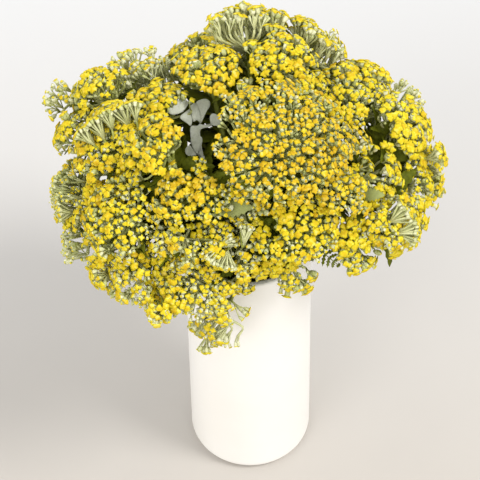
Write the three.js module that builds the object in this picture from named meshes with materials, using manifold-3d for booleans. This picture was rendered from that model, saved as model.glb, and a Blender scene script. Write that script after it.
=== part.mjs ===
// A bunch of cut yellow yarrow standing in a plain cylinder vase of water.
// Millimetres, +Z up, with the origin at the centre of the vase's underside. The open side of the bunch
// faces -Y.
import * as THREE from "three";
import { mergeVertices } from "three/addons/utils/BufferGeometryUtils.js";
import Module from "manifold-3d";

const wasm = await Module();
wasm.setup();

// Clearance kept between pieces that touch
const GAP = 0.3;

// The vase
const VASE_RADIUS = 45;
const VASE_HEIGHT = 236;
const VASE_WALL = 5;
const VASE_FLOOR = 8;
const BASE_ROUNDING = 8;
const INNER_ROUNDING = 5;
const RIM_ROUNDING = 1.6;
const VASE_SIDES = 32;
const CORNER_STEPS = 2;
const WATER_LEVEL = 150;

// The stems: where they stand, how far they lean out at the mouth, and how thick they are
const MOUTH_SPREAD = 0.26;
const FOOT_SPREAD = 0.72;
const STEM = { radius: 2.2, sides: 5, steps: 7 };
const BRANCH = { radius: 1.5, sides: 4, steps: 5 };
const BRANCH_ROOTS = [0.4, 0.25, 0.3];
const TANGENT_SHARE = 0.38;
const HOLE_SIDES = 6;

// The bows tried in turn for a stem that would cross another piece, in rings round the straightest way
const BOW_STEP = 9;
const BOW_RINGS = 5;
const BOW_WAYS = 8;
const TOUCH_VOLUME = 1e-6;

// The rays that carry a head, and the knot on the stem that they spread from
const RAY_RADIUS = 0.8;
const RAY_REACH = 0.62;
const RAY_SPACING = 24;
const RAY_FEWEST = 4;
const RAY_SLACK = 4;
const KNOT_RADIUS = 2.3;
const KNOT_DEPTH = 2;
const NECK_BASE = 11;
const NECK_SHARE = 0.42;

// The florets, which stand on the dome of a head as knobs on a six-sided lattice
const FLORET_PITCH = 9.4;
const FLORET_TOP = 0.36;
const FLORET_HEIGHT = 3;
const FLORET_JITTER = 0.13;
const FLORET_HEIGHT_JITTER = 0.9;
const FLORET_TWIST = 30;
const DOME_SHARE = 0.22;
const RIM_DROP = 2;
const UNDERSIDE_DROP = 4.5;
const OUTLINE_WAVE = 0.045;
const OUTLINE_LOBES = [2, 5];
const LUMP_HEIGHT = 0.9;
const LUMP_LENGTH = 19;

// The ferny leaves
const LEAF_LENGTH = 44;
const LEAF_HALF_WIDTH = 10;
const LEAF_PAIRS = 3;
const LEAF_RIB = 1;
const LEAF_SWEEP = 0.85;
const LEAF_TAPER = 0.8;
const LEAF_ARCH = 6;
const LEAF_THICKNESS = 0.8;
const LEAF_DROP = 12;
const LEAF_LEAST_RADIUS = 26;
const LEAF_TURNS = [0, 40, -40, 80, -80, 120, -120, 160, -160];
const LEAF_RISES = [15, -15, -40];
const PATH_STEP = 0.01;

// The silver leaf
const SILVER_AT = [-30, 12, 309];
const SILVER_FACING = [-80, 40];
const SILVER_LENGTH = 40;
const SILVER_HALF_WIDTH = 17;
const SILVER_PAIRS = 3;
const SILVER_LEAST_LOBE = 0.6;
const SILVER_RIB = 2.4;
const SILVER_CUP = 4;
const SILVER_THICKNESS = 1.2;
const SILVER_ROOT = 3;

// The points of a silver lobe, and of half the tip, as shares of the lobes' spacing and of their width
const SILVER_LOBE = [[0.22, 0.7], [0.6, 1], [1.08, 0.78]];
const SILVER_TIP = [[0.5, 0.42], [1, 0]];

// How the heads push each other aside
const FEELER_RADIUS = 5.4;
const FEELER_PITCH = 9;
const FEELER_RAISE = 1.6;
const FEELER_INSET = 0.8;
const RAY_FEELER_SHARE = 0.3;
const SETTLE_STEPS = 160;
const SETTLE_FREE_STEPS = 50;
const SETTLE_PULL = 0.02;
const PART_STEP = 0.4;
const PART_PASSES = 30;

const YELLOW = 0xf0d020;
const PALE = 0xb9c07a;
const GREEN = 0x7f8f55;
const SILVER = 0xa5aa9b;
const CREAM = 0xf3ebe0;
const WATER = 0xc8d8d8;

// Each stem ends in its first head, and the others stand on side branches of it. A head has the top of its
// dome, the azimuth and the tilt from upright that it faces, and its width.
const BUNCH = {
  crown: [
    { at: [23, -24, 378], azimuth: -60, tilt: 12, width: 96 },
    { at: [68, -24, 340], azimuth: -36, tilt: 42, width: 66 },
  ],
  back_left: [
    { at: [8, 101, 352], azimuth: 94, tilt: 64, width: 58 },
    { at: [28, 52, 368], azimuth: -60, tilt: 12, width: 44 },
  ],
  back_right: [
    { at: [50, 98, 338], azimuth: 60, tilt: 62, width: 50 },
    { at: [60, 46, 348], azimuth: 10, tilt: 24, width: 38 },
  ],
  right_back: [
    { at: [86, 62, 333], azimuth: 20, tilt: 40, width: 54 },
    { at: [121, 74, 303], azimuth: 30, tilt: 72, width: 28, unopened: true },
  ],
  right_top: [
    { at: [111, 28, 320], azimuth: -14, tilt: 42, width: 50 },
    { at: [130, 8, 288], azimuth: -16, tilt: 60, width: 54 },
  ],
  right_front: [
    { at: [96, -16, 319], azimuth: -40, tilt: 44, width: 46 },
    { at: [106, -32, 290], azimuth: -44, tilt: 64, width: 50 },
  ],
  front: [
    { at: [35, -55, 314], azimuth: -80, tilt: 44, width: 58 },
    { at: [80, -50, 284], azimuth: -56, tilt: 64, width: 44 },
    { at: [36, -60, 258], azimuth: -66, tilt: 86, width: 30 },
  ],
  front_pale: [
    { at: [-10, -60, 302], azimuth: -98, tilt: 54, width: 54, unopened: true },
    { at: [-34, -72, 214], azimuth: -138, tilt: 112, width: 40 },
    { at: [-7, -45, 338], azimuth: -100, tilt: 34, width: 38 },
  ],
  near: [
    { at: [-43, -45, 344], azimuth: -118, tilt: 38, width: 54 },
    { at: [-50, -80, 273], azimuth: -108, tilt: 70, width: 52 },
    { at: [-56, -63, 308], azimuth: -118, tilt: 54, width: 40 },
  ],
  left_near: [
    { at: [-60, -14, 357], azimuth: -140, tilt: 22, width: 54 },
  ],
  left_low: [
    { at: [-89, -37, 312], azimuth: -140, tilt: 46, width: 62 },
    { at: [-84, -64, 268], azimuth: -132, tilt: 70, width: 52 },
    { at: [-129, -30, 264], azimuth: -164, tilt: 80, width: 34, unopened: true },
  ],
  left: [
    { at: [-102, 14, 328], azimuth: -176, tilt: 44, width: 60 },
    { at: [-135, 4, 286], azimuth: -178, tilt: 80, width: 38, unopened: true },
    { at: [-131, 48, 300], azimuth: 172, tilt: 70, width: 30 },
  ],
  left_back: [
    { at: [-107, 72, 326], azimuth: 150, tilt: 42, width: 50 },
    { at: [-138, 80, 303], azimuth: 172, tilt: 52, width: 34 },
    { at: [-77, 92, 316], azimuth: 118, tilt: 60, width: 48, unopened: true },
  ],
  top_left: [
    { at: [-26, 60, 358], azimuth: 120, tilt: 16, width: 54 },
    { at: [-66, 42, 344], azimuth: 150, tilt: 26, width: 52 },
  ],
  behind_left: [
    { at: [-34, 122, 294], azimuth: 108, tilt: 80, width: 62 },
    { at: [-88, 108, 276], azimuth: 132, tilt: 84, width: 54 },
  ],
  behind_right: [
    { at: [26, 124, 292], azimuth: 84, tilt: 80, width: 62 },
    { at: [84, 98, 286], azimuth: 52, tilt: 78, width: 56 },
  ],
};

const random = THREE.MathUtils.seededRandom;
const radians = THREE.MathUtils.degToRad;
const UP = new THREE.Vector3(0, 0, 1);

function solidOf(geometry) {
  const bare = geometry.clone();
  bare.deleteAttribute("normal");
  bare.deleteAttribute("uv");
  const merged = mergeVertices(bare);
  return new wasm.Manifold(
    new wasm.Mesh({
      numProp: 3,
      vertProperties: merged.attributes.position.array,
      triVerts: new Uint32Array(merged.index.array),
    }),
  );
}

function geometryOf(solid) {
  const { vertProperties, triVerts } = solid.getMesh();
  const geometry = new THREE.BufferGeometry();
  geometry.setAttribute("position", new THREE.BufferAttribute(vertProperties, 3));
  geometry.setIndex(new THREE.BufferAttribute(triVerts, 1));
  return geometry;
}

function meshOf(name, geometry, color, roughness) {
  const material = new THREE.MeshStandardMaterial({ color, roughness, metalness: 0 });
  const mesh = new THREE.Mesh(geometry, material);
  mesh.name = name;
  return mesh;
}

// A quarter round of a profile about a centre, from one angle to another
function corner(x, y, radius, from, to) {
  const points = [];
  for (let step = 0; step <= CORNER_STEPS; step++) {
    const angle = radians(from + ((to - from) * step) / CORNER_STEPS);
    points.push(new THREE.Vector2(x + radius * Math.cos(angle), y + radius * Math.sin(angle)));
  }
  return points;
}

// A turned solid about the Z axis
function turned(profile) {
  return new THREE.LatheGeometry(profile, VASE_SIDES).rotateX(Math.PI / 2);
}

function vaseGeometry() {
  const inside = VASE_RADIUS - VASE_WALL;
  const rim = RIM_ROUNDING;
  return turned([
    new THREE.Vector2(0, 0),
    ...corner(VASE_RADIUS - BASE_ROUNDING, BASE_ROUNDING, BASE_ROUNDING, -90, 0),
    ...corner(VASE_RADIUS - rim, VASE_HEIGHT - rim, rim, 0, 90),
    ...corner(inside + rim, VASE_HEIGHT - rim, rim, 90, 180),
    ...corner(inside - INNER_ROUNDING, VASE_FLOOR + INNER_ROUNDING, INNER_ROUNDING, 0, -90),
    new THREE.Vector2(0, VASE_FLOOR),
  ]);
}

function waterGeometry() {
  const radius = VASE_RADIUS - VASE_WALL - GAP;
  return turned([
    new THREE.Vector2(0, VASE_FLOOR + GAP),
    ...corner(radius - INNER_ROUNDING, VASE_FLOOR + GAP + INNER_ROUNDING, INNER_ROUNDING, -90, 0),
    new THREE.Vector2(radius, WATER_LEVEL),
    new THREE.Vector2(0, WATER_LEVEL),
  ]);
}

function facing(azimuth, tilt) {
  return new THREE.Vector3(Math.cos(radians(azimuth)), Math.sin(radians(azimuth)), 0)
    .multiplyScalar(Math.sin(radians(tilt)))
    .addScaledVector(UP, Math.cos(radians(tilt)));
}

// How far the dome of a head has fallen away at a distance from its middle
function domeDrop(radius, distance) {
  return DOME_SHARE * radius * (distance / radius) ** 2;
}

// The underside of a head is a shallow cone from its rim to a point under its middle
function undersideDrop(radius, distance) {
  const rim = domeDrop(radius, radius) + RIM_DROP;
  const middle = rim + UNDERSIDE_DROP;
  return middle + (rim - middle) * Math.min(1, distance / radius);
}

function neckLength(radius) {
  return NECK_BASE + NECK_SHARE * radius + domeDrop(radius, radius);
}

// The list of heads, each with its place, its turn and its size
function headList() {
  const heads = [];
  for (const [stem, entries] of Object.entries(BUNCH)) {
    entries.forEach((entry, index) => {
      const normal = facing(entry.azimuth, entry.tilt);
      heads.push({
        stem,
        name: "head_" + stem + "_" + (index + 1),
        place: new THREE.Vector3(...entry.at),
        home: new THREE.Vector3(...entry.at),
        normal,
        turn: new THREE.Quaternion().setFromUnitVectors(UP, normal),
        radius: entry.width / 2,
        unopened: Boolean(entry.unopened),
      });
    });
  }
  return heads;
}

// Small spheres, relative to the head's place, that fill its dome
function feelers(head) {
  const spheres = [];
  const outer = head.radius - FEELER_INSET * FEELER_RADIUS;
  const rings = Math.max(1, Math.round(outer / FEELER_PITCH));
  for (let ring = 0; ring <= rings; ring++) {
    const distance = (outer * ring) / rings;
    const count = Math.max(1, Math.round((2 * Math.PI * distance) / FEELER_PITCH));
    for (let k = 0; k < count; k++) {
      const angle = (2 * Math.PI * k) / count;
      const deep = distance < head.radius / 2;
      for (const depth of deep ? [FEELER_RAISE, FEELER_RAISE + FEELER_RADIUS] : [FEELER_RAISE]) {
        const z = -domeDrop(head.radius, distance) - depth;
        const point = new THREE.Vector3(distance * Math.cos(angle), distance * Math.sin(angle), z);
        spheres.push({ offset: point.applyQuaternion(head.turn), radius: FEELER_RADIUS });
      }
    }
  }
  return spheres;
}

// The spheres that stand for the rays and the knot under a head
function neckFeelers(head) {
  const length = neckLength(head.radius);
  const under = domeDrop(head.radius, head.radius) + RIM_DROP + UNDERSIDE_DROP;
  const middle = (under + length) / 2;
  return [
    { offset: head.normal.clone().multiplyScalar(-middle), radius: head.radius * RAY_FEELER_SHARE },
    { offset: head.normal.clone().multiplyScalar(-length), radius: FEELER_RADIUS },
  ];
}

// The push that one group of spheres gives another
function pushBetween(a, aSpheres, b, bSpheres) {
  const push = new THREE.Vector3();
  const step = new THREE.Vector3();
  let hits = 0;
  for (const one of aSpheres) {
    for (const two of bSpheres) {
      step.copy(a.place).add(one.offset).sub(b.place).sub(two.offset);
      const overlap = one.radius + two.radius - step.length();
      if (overlap > 0) {
        push.addScaledVector(step.normalize(), overlap);
        hits += 1;
      }
    }
  }
  return hits ? push.divideScalar(hits) : push;
}

// Heads that crowd each other move apart, and are drawn back a little towards their homes
function settle(heads) {
  for (const head of heads) {
    head.dome = feelers(head);
    head.neck = neckFeelers(head);
    head.all = [...head.dome, ...head.neck];
  }
  for (let step = 0; step < SETTLE_STEPS; step++) {
    for (const head of heads) {
      const pull = step < SETTLE_STEPS - SETTLE_FREE_STEPS ? SETTLE_PULL : 0;
      head.move = head.home.clone().sub(head.place).multiplyScalar(pull);
    }
    heads.forEach((a, index) => {
      for (const b of heads.slice(index + 1)) {
        const reach = neckLength(a.radius) + neckLength(b.radius) + a.radius + b.radius;
        if (a.place.distanceTo(b.place) > reach) {
          continue;
        }
        const push = pushBetween(a, a.dome, b, b.all).add(pushBetween(a, a.neck, b, b.dome));
        push.divideScalar(2);
        a.move.add(push);
        b.move.sub(push);
      }
    });
    for (const head of heads) {
      head.place.add(head.move);
    }
  }
}

// One head: a six-sided lattice of florets on a dome, each a knob with a flat three-cornered top. The
// lattice corners between the knobs are the valleys, and the outermost ones close to the underside.
function headGeometry(head) {
  const { radius } = head;
  const reach = Math.ceil(radius / FLORET_PITCH) + 2;
  const waves = [random() * 2 * Math.PI, random() * 2 * Math.PI];
  const lumps = [random() * 2 * Math.PI, random() * 2 * Math.PI];
  const centres = new Map();
  for (let q = -reach; q <= reach; q++) {
    for (let r = -reach; r <= reach; r++) {
      const x = FLORET_PITCH * (q + r / 2 + (random() - 0.5) * 2 * FLORET_JITTER);
      const y = FLORET_PITCH * ((r * Math.sqrt(3)) / 2 + (random() - 0.5) * 2 * FLORET_JITTER);
      const angle = Math.atan2(y, x);
      const wave = OUTLINE_LOBES.reduce((sum, lobes, k) => sum + Math.sin(lobes * angle + waves[k]), 0);
      const limit = radius * (1 + OUTLINE_WAVE * wave) - FLORET_PITCH * FLORET_TOP;
      centres.set(q + "," + r, { q, r, x, y, inside: Math.hypot(x, y) < limit });
    }
  }
  const surface = (x, y) => {
    const lump = Math.sin((2 * Math.PI * x) / LUMP_LENGTH + lumps[0]);
    const other = Math.sin((2 * Math.PI * y) / LUMP_LENGTH + lumps[1]);
    return LUMP_HEIGHT * lump * other - domeDrop(radius, Math.hypot(x, y));
  };
  const positions = [];
  const faces = [];
  const addPoint = (x, y, z) => positions.push(x, y, z) / 3 - 1;
  const steps = [[1, 0], [0, 1], [-1, 1], [-1, 0], [0, -1], [1, -1]];
  const neighbour = (cell, side) => {
    const [dq, dr] = steps[(side + 6) % 6];
    return centres.get(cell.q + dq + "," + (cell.r + dr));
  };
  const valleys = new Map();
  const valley = (cell, side) => {
    const three = [cell, neighbour(cell, side), neighbour(cell, side + 1)];
    const key = three.map((one) => one.q + "," + one.r).sort().join(" ");
    if (!valleys.has(key)) {
      const x = (three[0].x + three[1].x + three[2].x) / 3;
      const y = (three[0].y + three[1].y + three[2].y) / 3;
      const drop = three.every((one) => one.inside) ? 0 : RIM_DROP;
      valleys.set(key, addPoint(x, y, surface(x, y) - drop));
    }
    return valleys.get(key);
  };
  const bottom = addPoint(0, 0, -undersideDrop(radius, 0));
  for (const cell of centres.values()) {
    if (!cell.inside) {
      continue;
    }
    const parity = random() < 0.5 ? 0 : 1;
    const lump = surface(cell.x, cell.y) + domeDrop(radius, Math.hypot(cell.x, cell.y));
    const height = lump + FLORET_HEIGHT + (random() - 0.5) * FLORET_HEIGHT_JITTER;
    const top = [0, 1, 2].map((k) => {
      const angle = radians(30 + 60 * parity + 120 * k + (random() - 0.5) * FLORET_TWIST);
      const x = cell.x + FLORET_TOP * FLORET_PITCH * Math.cos(angle);
      const y = cell.y + FLORET_TOP * FLORET_PITCH * Math.sin(angle);
      return addPoint(x, y, height - domeDrop(radius, Math.hypot(x, y)));
    });
    const ring = [0, 1, 2, 3, 4, 5].map((side) => valley(cell, side));
    faces.push(...top);
    for (let k = 0; k < 3; k++) {
      const side = 2 * k + parity;
      const [before, at, after] = [ring[(side + 5) % 6], ring[side % 6], ring[(side + 1) % 6]];
      faces.push(top[k], before, at, top[k], at, after, top[k], after, top[(k + 1) % 3]);
    }
    for (let side = 0; side < 6; side++) {
      if (!neighbour(cell, side).inside) {
        faces.push(ring[side], ring[(side + 5) % 6], bottom);
      }
    }
  }
  const geometry = new THREE.BufferGeometry();
  geometry.setAttribute("position", new THREE.Float32BufferAttribute(positions, 3));
  geometry.setIndex(faces);
  return geometry;
}

// A tube of a few flat sides along a curve
function tube(curve, radius, sides, steps) {
  const section = new THREE.Shape();
  for (let k = 0; k < sides; k++) {
    const angle = (2 * Math.PI * k) / sides;
    section[k ? "lineTo" : "moveTo"](radius * Math.cos(angle), radius * Math.sin(angle));
  }
  section.closePath();
  return new THREE.ExtrudeGeometry(section, { steps, extrudePath: curve, curveSegments: 1 });
}

// The solids already placed, with their owners, so that a new one can be tried against them
const placed = [];

function boxesMeet(a, b) {
  const one = a.boundingBox();
  const two = b.boundingBox();
  return [0, 1, 2].every((k) => one.min[k] < two.max[k] && two.min[k] < one.max[k]);
}

function isClear(solid, owner) {
  const meets = (other) =>
    other.owner !== owner &&
    boxesMeet(solid, other.solid) &&
    solid.intersect(other.solid).volume() > TOUCH_VOLUME;
  return !placed.some(meets);
}

// A head as a solid, where it stands now
function headSolid(head) {
  const matrix = new THREE.Matrix4().makeRotationFromQuaternion(head.turn).setPosition(head.place);
  return solidOf(head.geometry.clone().applyMatrix4(matrix));
}

// Heads that still cross each other once they have settled are moved apart in small steps
function separate(heads) {
  for (let pass = 0; pass < PART_PASSES; pass++) {
    let crossings = 0;
    heads.forEach((a, index) => {
      for (const b of heads.slice(index + 1)) {
        if (boxesMeet(a.solid, b.solid) && a.solid.intersect(b.solid).volume() > TOUCH_VOLUME) {
          const way = a.place.clone().sub(b.place).setLength(PART_STEP);
          a.place.add(way);
          b.place.sub(way);
          a.solid = headSolid(a);
          b.solid = headSolid(b);
          crossings += 1;
        }
      }
    });
    if (!crossings) {
      return;
    }
  }
  console.warn("heads still cross each other");
}

// A point in the frame of a head, whose origin is the top of its dome
function pointOf(head, x, y, z) {
  return new THREE.Vector3(x, y, z).applyQuaternion(head.turn).add(head.place);
}

// The knot under a head, from which its rays spread
function hubOf(head, below = 0) {
  return pointOf(head, 0, 0, -neckLength(head.radius) - below);
}

// A stem stands straight in the vase up to the mouth, and arches from there to its head. The straight part
// is the first step of the tube, and the arch takes the other steps.
class StemPath extends THREE.Curve {
  constructor(foot, bend, steps) {
    super();
    this.foot = foot;
    this.bend = bend;
    this.split = 1 / steps;
  }
  getPoint(t) {
    if (t < this.split) {
      return this.foot.clone().lerp(this.bend.v0, t / this.split);
    }
    return this.bend.getPoint((t - this.split) / (1 - this.split));
  }
  getPointAt(u) {
    return this.getPoint(u);
  }
  getTangentAt(u) {
    return this.getTangent(u);
  }
}

// A smooth arch between two points, given its way at both ends and a bow of its middle
function arch(start, startWay, end, endWay, bow) {
  const pull = TANGENT_SHARE * start.distanceTo(end);
  return new THREE.CubicBezierCurve3(
    start,
    start.clone().addScaledVector(startWay, pull).add(bow),
    end.clone().addScaledVector(endWay, -pull).add(bow),
    end,
  );
}

// The bows that an arch may take, each to the side and upwards, the smallest first
function bows() {
  const list = [[0, 0]];
  for (let ring = 1; ring <= BOW_RINGS; ring++) {
    for (let way = 0; way < BOW_WAYS; way++) {
      const angle = (2 * Math.PI * way) / BOW_WAYS;
      list.push([ring * BOW_STEP * Math.cos(angle), ring * BOW_STEP * Math.sin(angle)]);
    }
  }
  return list;
}

// The first arch that is clear of every other piece
function clearArch(owner, ends, makePath, size) {
  const across = ends.end.clone().sub(ends.start).cross(ends.endWay);
  if (across.length() < 1) {
    across.set(1, 0, 0);
  }
  across.normalize();
  let path;
  for (const [aside, lift] of bows()) {
    const bow = across.clone().multiplyScalar(aside).addScaledVector(UP, lift);
    path = makePath(arch(ends.start, ends.startWay, ends.end, ends.endWay, bow));
    if (isClear(solidOf(tube(path, size.radius + GAP, size.sides, size.steps)), owner)) {
      return path;
    }
  }
  console.warn(owner + " crosses another piece");
  return path;
}

function stemPath(stem, head) {
  const hub = hubOf(head);
  const mouth = new THREE.Vector3(hub.x * MOUTH_SPREAD, hub.y * MOUTH_SPREAD, VASE_HEIGHT);
  const foot = new THREE.Vector3(mouth.x * FOOT_SPREAD, mouth.y * FOOT_SPREAD, VASE_FLOOR + 2 * GAP);
  const ends = { start: mouth, startWay: mouth.clone().sub(foot).normalize(), end: hub, endWay: head.normal };
  return clearArch(stem, ends, (bend) => new StemPath(foot, bend, STEM.steps), STEM);
}

function branchPath(stem, main, head, index) {
  const root = BRANCH_ROOTS[index];
  const ends = {
    start: main.bend.getPoint(root),
    startWay: main.bend.getTangent(root),
    end: hubOf(head),
    endWay: head.normal,
  };
  return clearArch(stem, ends, (bend) => bend, BRANCH);
}

// Where a ray ends under its head, as near as it can be without touching anything, or null
function rayEnd(stem, head, angle) {
  const start = hubOf(head);
  const reach = RAY_REACH * head.radius;
  const x = reach * Math.cos(angle);
  const y = reach * Math.sin(angle);
  for (let short = -RAY_SLACK / 2; short < RAY_SLACK; short += GAP / 2) {
    const end = pointOf(head, x, y, -undersideDrop(head.radius, reach) - short);
    const beyond = end.clone().addScaledVector(end.clone().sub(start).normalize(), GAP);
    const trial = tube(new THREE.LineCurve3(start, beyond), RAY_RADIUS + GAP, STEM.sides, 1);
    if (isClear(solidOf(trial), stem)) {
      return end;
    }
  }
  return null;
}

// The rays under a head, which share out the knot on the stalk between them like the slices of a cake.
// Each one is a three-sided prism from its slice to a smaller slice at its end.
function rays(stem, head) {
  const count = Math.max(RAY_FEWEST, Math.round((2 * Math.PI * RAY_REACH * head.radius) / RAY_SPACING));
  const turn = random() * 2 * Math.PI;
  const angles = [];
  const ends = [];
  for (let k = 0; k < count; k++) {
    const angle = turn + (2 * Math.PI * k) / count;
    const end = rayEnd(stem, head, angle);
    if (end) {
      angles.push(angle);
      ends.push(end);
    }
  }
  if (ends.length < 3) {
    return null;
  }
  const number = ends.length;
  const knot = hubOf(head);
  const corners = angles.map((angle, k) => {
    const before = angles[(k + number - 1) % number] - (k ? 0 : 2 * Math.PI);
    const middle = (angle + before) / 2;
    const side = new THREE.Vector3(Math.cos(middle), Math.sin(middle), 0).multiplyScalar(KNOT_RADIUS);
    return side.applyQuaternion(head.turn).add(knot);
  });
  const points = [hubOf(head, KNOT_DEPTH), knot, ...corners];
  const faces = [];
  ends.forEach((end, k) => {
    const slice = [1, 2 + k, 2 + ((k + 1) % number)];
    const middle = slice.reduce((sum, index) => sum.add(points[index]), new THREE.Vector3()).divideScalar(3);
    const tip = slice.map((index) => {
      const spoke = points[index].clone().sub(middle);
      return points.push(spoke.setLength(RAY_RADIUS).add(end)) - 1;
    });
    for (let side = 0; side < 3; side++) {
      const next = (side + 1) % 3;
      faces.push(slice[side], slice[next], tip[next], slice[side], tip[next], tip[side]);
    }
    faces.push(...tip, 0, slice[2], slice[1]);
  });
  const geometry = new THREE.BufferGeometry().setFromPoints(points);
  geometry.setIndex(faces);
  return solidOf(geometry);
}

// A thin blade with the given outline, its two faces split into the same triangles, lifted by a formula
function blade(outline, thickness, lift) {
  const triangles = THREE.ShapeUtils.triangulateShape(outline, []);
  const count = outline.length;
  const positions = [];
  for (const side of [0.5, -0.5]) {
    for (const point of outline) {
      positions.push(point.x, point.y, lift(point.x, point.y) + side * thickness);
    }
  }
  const faces = [];
  for (const [a, b, c] of triangles) {
    faces.push(a, b, c, count + a, count + c, count + b);
  }
  for (let k = 0; k < count; k++) {
    const next = (k + 1) % count;
    faces.push(k, count + k, next, next, count + k, count + next);
  }
  const geometry = new THREE.BufferGeometry();
  geometry.setAttribute("position", new THREE.Float32BufferAttribute(positions, 3));
  geometry.setIndex(faces);
  return geometry;
}

// The outline of half a leaf mirrored into a whole one, anticlockwise from the base
function mirrored(half, tip) {
  const right = half.map(([x, y]) => new THREE.Vector2(x, -y));
  const left = half.map(([x, y]) => new THREE.Vector2(x, y)).reverse();
  return [...right, ...tip.map(([x, y]) => new THREE.Vector2(x, y)), ...left];
}

// A ferny leaf, cut to the rib into pairs of pointed leaflets
function fernLeaf() {
  const step = LEAF_LENGTH / (LEAF_PAIRS + 1);
  const half = [[0, LEAF_RIB]];
  for (let pair = 0; pair < LEAF_PAIRS; pair++) {
    const width = LEAF_HALF_WIDTH * Math.sin(Math.PI * ((pair + 1) / (LEAF_PAIRS + 1)) ** LEAF_TAPER);
    half.push([step * (pair + LEAF_SWEEP), Math.max(width, LEAF_RIB * 2)], [step * (pair + 1), LEAF_RIB]);
  }
  const arched = (x) => -LEAF_ARCH * (x / LEAF_LENGTH) ** 2;
  return blade(mirrored(half, [[LEAF_LENGTH, 0]]), LEAF_THICKNESS, arched);
}

// The silver leaf, with pairs of rounded lobes and a round one at its tip
function silverLeaf() {
  const step = SILVER_LENGTH / (SILVER_PAIRS + 1);
  const half = [[0, SILVER_RIB]];
  for (let pair = 0; pair < SILVER_PAIRS; pair++) {
    const bulge = Math.sin((Math.PI * (pair + 1)) / (SILVER_PAIRS + 1));
    const width = SILVER_HALF_WIDTH * (SILVER_LEAST_LOBE + (1 - SILVER_LEAST_LOBE) * bulge);
    half.push(...SILVER_LOBE.map(([along, aside]) => [step * (pair + along), aside * width]));
    half.push([step * (pair + 1), SILVER_RIB]);
  }
  const [side, end] = SILVER_TIP.map(([along, aside]) => [
    SILVER_LENGTH - step + along * step,
    aside * SILVER_HALF_WIDTH,
  ]);
  const tip = [[side[0], -side[1]], end, side];
  const cupped = (x, y) => SILVER_CUP * (y / SILVER_HALF_WIDTH) ** 2 - SILVER_CUP * (x / SILVER_LENGTH) ** 2;
  return blade(mirrored(half, tip), SILVER_THICKNESS, cupped);
}

// Places a leaf with its rib along one way and its upper face along another
function leafAt(geometry, base, along, up) {
  const across = up.clone().cross(along).normalize();
  const matrix = new THREE.Matrix4().makeBasis(along, across, along.clone().cross(across));
  return geometry.clone().applyMatrix4(matrix.setPosition(base));
}

// The point of a stalk that lies a given way below its end
function pointBelow(path, distance) {
  const end = path.getPoint(1);
  let t = 1;
  while (path.getPoint(t).distanceTo(end) < distance) {
    t -= PATH_STEP;
  }
  return path.getPoint(t);
}

// A leaf on the stalk under a head, turned until it is clear, starting with the side away from the vase
function leafPiece(stem, head, path, leaf) {
  const base = pointBelow(path, LEAF_DROP);
  const outward = new THREE.Vector3(base.x, base.y, 0).projectOnPlane(head.normal).normalize();
  for (const turn of LEAF_TURNS) {
    for (const rise of LEAF_RISES) {
      const along = outward.clone().applyAxisAngle(head.normal, radians(turn));
      along.multiplyScalar(Math.cos(radians(rise))).addScaledVector(head.normal, Math.sin(radians(rise)));
      const solid = solidOf(leafAt(leaf, base, along, head.normal));
      if (isClear(solid, stem)) {
        return solid;
      }
    }
  }
  return null;
}

// The stems with their branches, rays and leaves, each fused into one piece
function buildStems(heads) {
  const stems = new Map();
  const join = (stem, solid) => {
    if (solid) {
      stems.get(stem).pieces.push(solid);
      placed.push({ owner: stem, solid });
    }
  };
  for (const name of Object.keys(BUNCH)) {
    const own = heads.filter((head) => head.stem === name);
    own[0].path = stemPath(name, own[0]);
    stems.set(name, { own, path: own[0].path, pieces: [] });
    join(name, solidOf(tube(own[0].path, STEM.radius, STEM.sides, STEM.steps)));
  }
  for (const [name, { path, own }] of stems) {
    own.slice(1).forEach((head, index) => {
      head.path = branchPath(name, path, head, index);
      join(name, solidOf(tube(head.path, BRANCH.radius, BRANCH.sides, BRANCH.steps)));
    });
  }
  heads.forEach((head) => join(head.stem, rays(head.stem, head)));
  const leaf = fernLeaf();
  for (const head of heads.filter((one) => one.radius > LEAF_LEAST_RADIUS)) {
    join(head.stem, leafPiece(head.stem, head, head.path, leaf));
  }
  return stems;
}

// The silver leaf on its own stalk
function buildSilver() {
  const base = new THREE.Vector3(...SILVER_AT);
  const up = facing(...SILVER_FACING);
  const along = UP.clone().projectOnPlane(up).normalize();
  const mouth = new THREE.Vector3(base.x * MOUTH_SPREAD, base.y * MOUTH_SPREAD, VASE_HEIGHT);
  const foot = new THREE.Vector3(mouth.x * FOOT_SPREAD, mouth.y * FOOT_SPREAD, VASE_FLOOR + 2 * GAP);
  const ends = { start: mouth, startWay: mouth.clone().sub(foot).normalize(), end: base, endWay: along };
  const path = clearArch("silver", ends, (bend) => new StemPath(foot, bend, BRANCH.steps), BRANCH);
  const stalk = solidOf(tube(path, BRANCH.radius, BRANCH.sides, BRANCH.steps));
  const leaf = solidOf(leafAt(silverLeaf(), base.clone().addScaledVector(along, -SILVER_ROOT), along, up));
  if (!isClear(leaf, "silver")) {
    console.warn("the silver leaf crosses another piece");
  }
  placed.push({ owner: "silver", solid: stalk.add(leaf) });
  return { path, solid: stalk.add(leaf) };
}

// The water, with a plain hole for each stem
function waterWithHoles(paths) {
  let water = solidOf(waterGeometry());
  for (const { foot, bend } of paths) {
    const way = bend.v0.clone().sub(foot).normalize();
    const line = new THREE.LineCurve3(foot.clone().addScaledVector(way, -VASE_FLOOR), bend.v0);
    const radius = (STEM.radius + GAP) / Math.cos(Math.PI / HOLE_SIDES);
    water = water.subtract(solidOf(tube(line, radius, HOLE_SIDES, 1)));
  }
  return geometryOf(water);
}

const part = new THREE.Group();
part.name = "yarrow_in_vase";
part.add(meshOf("vase", vaseGeometry(), CREAM, 0.6));

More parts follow.
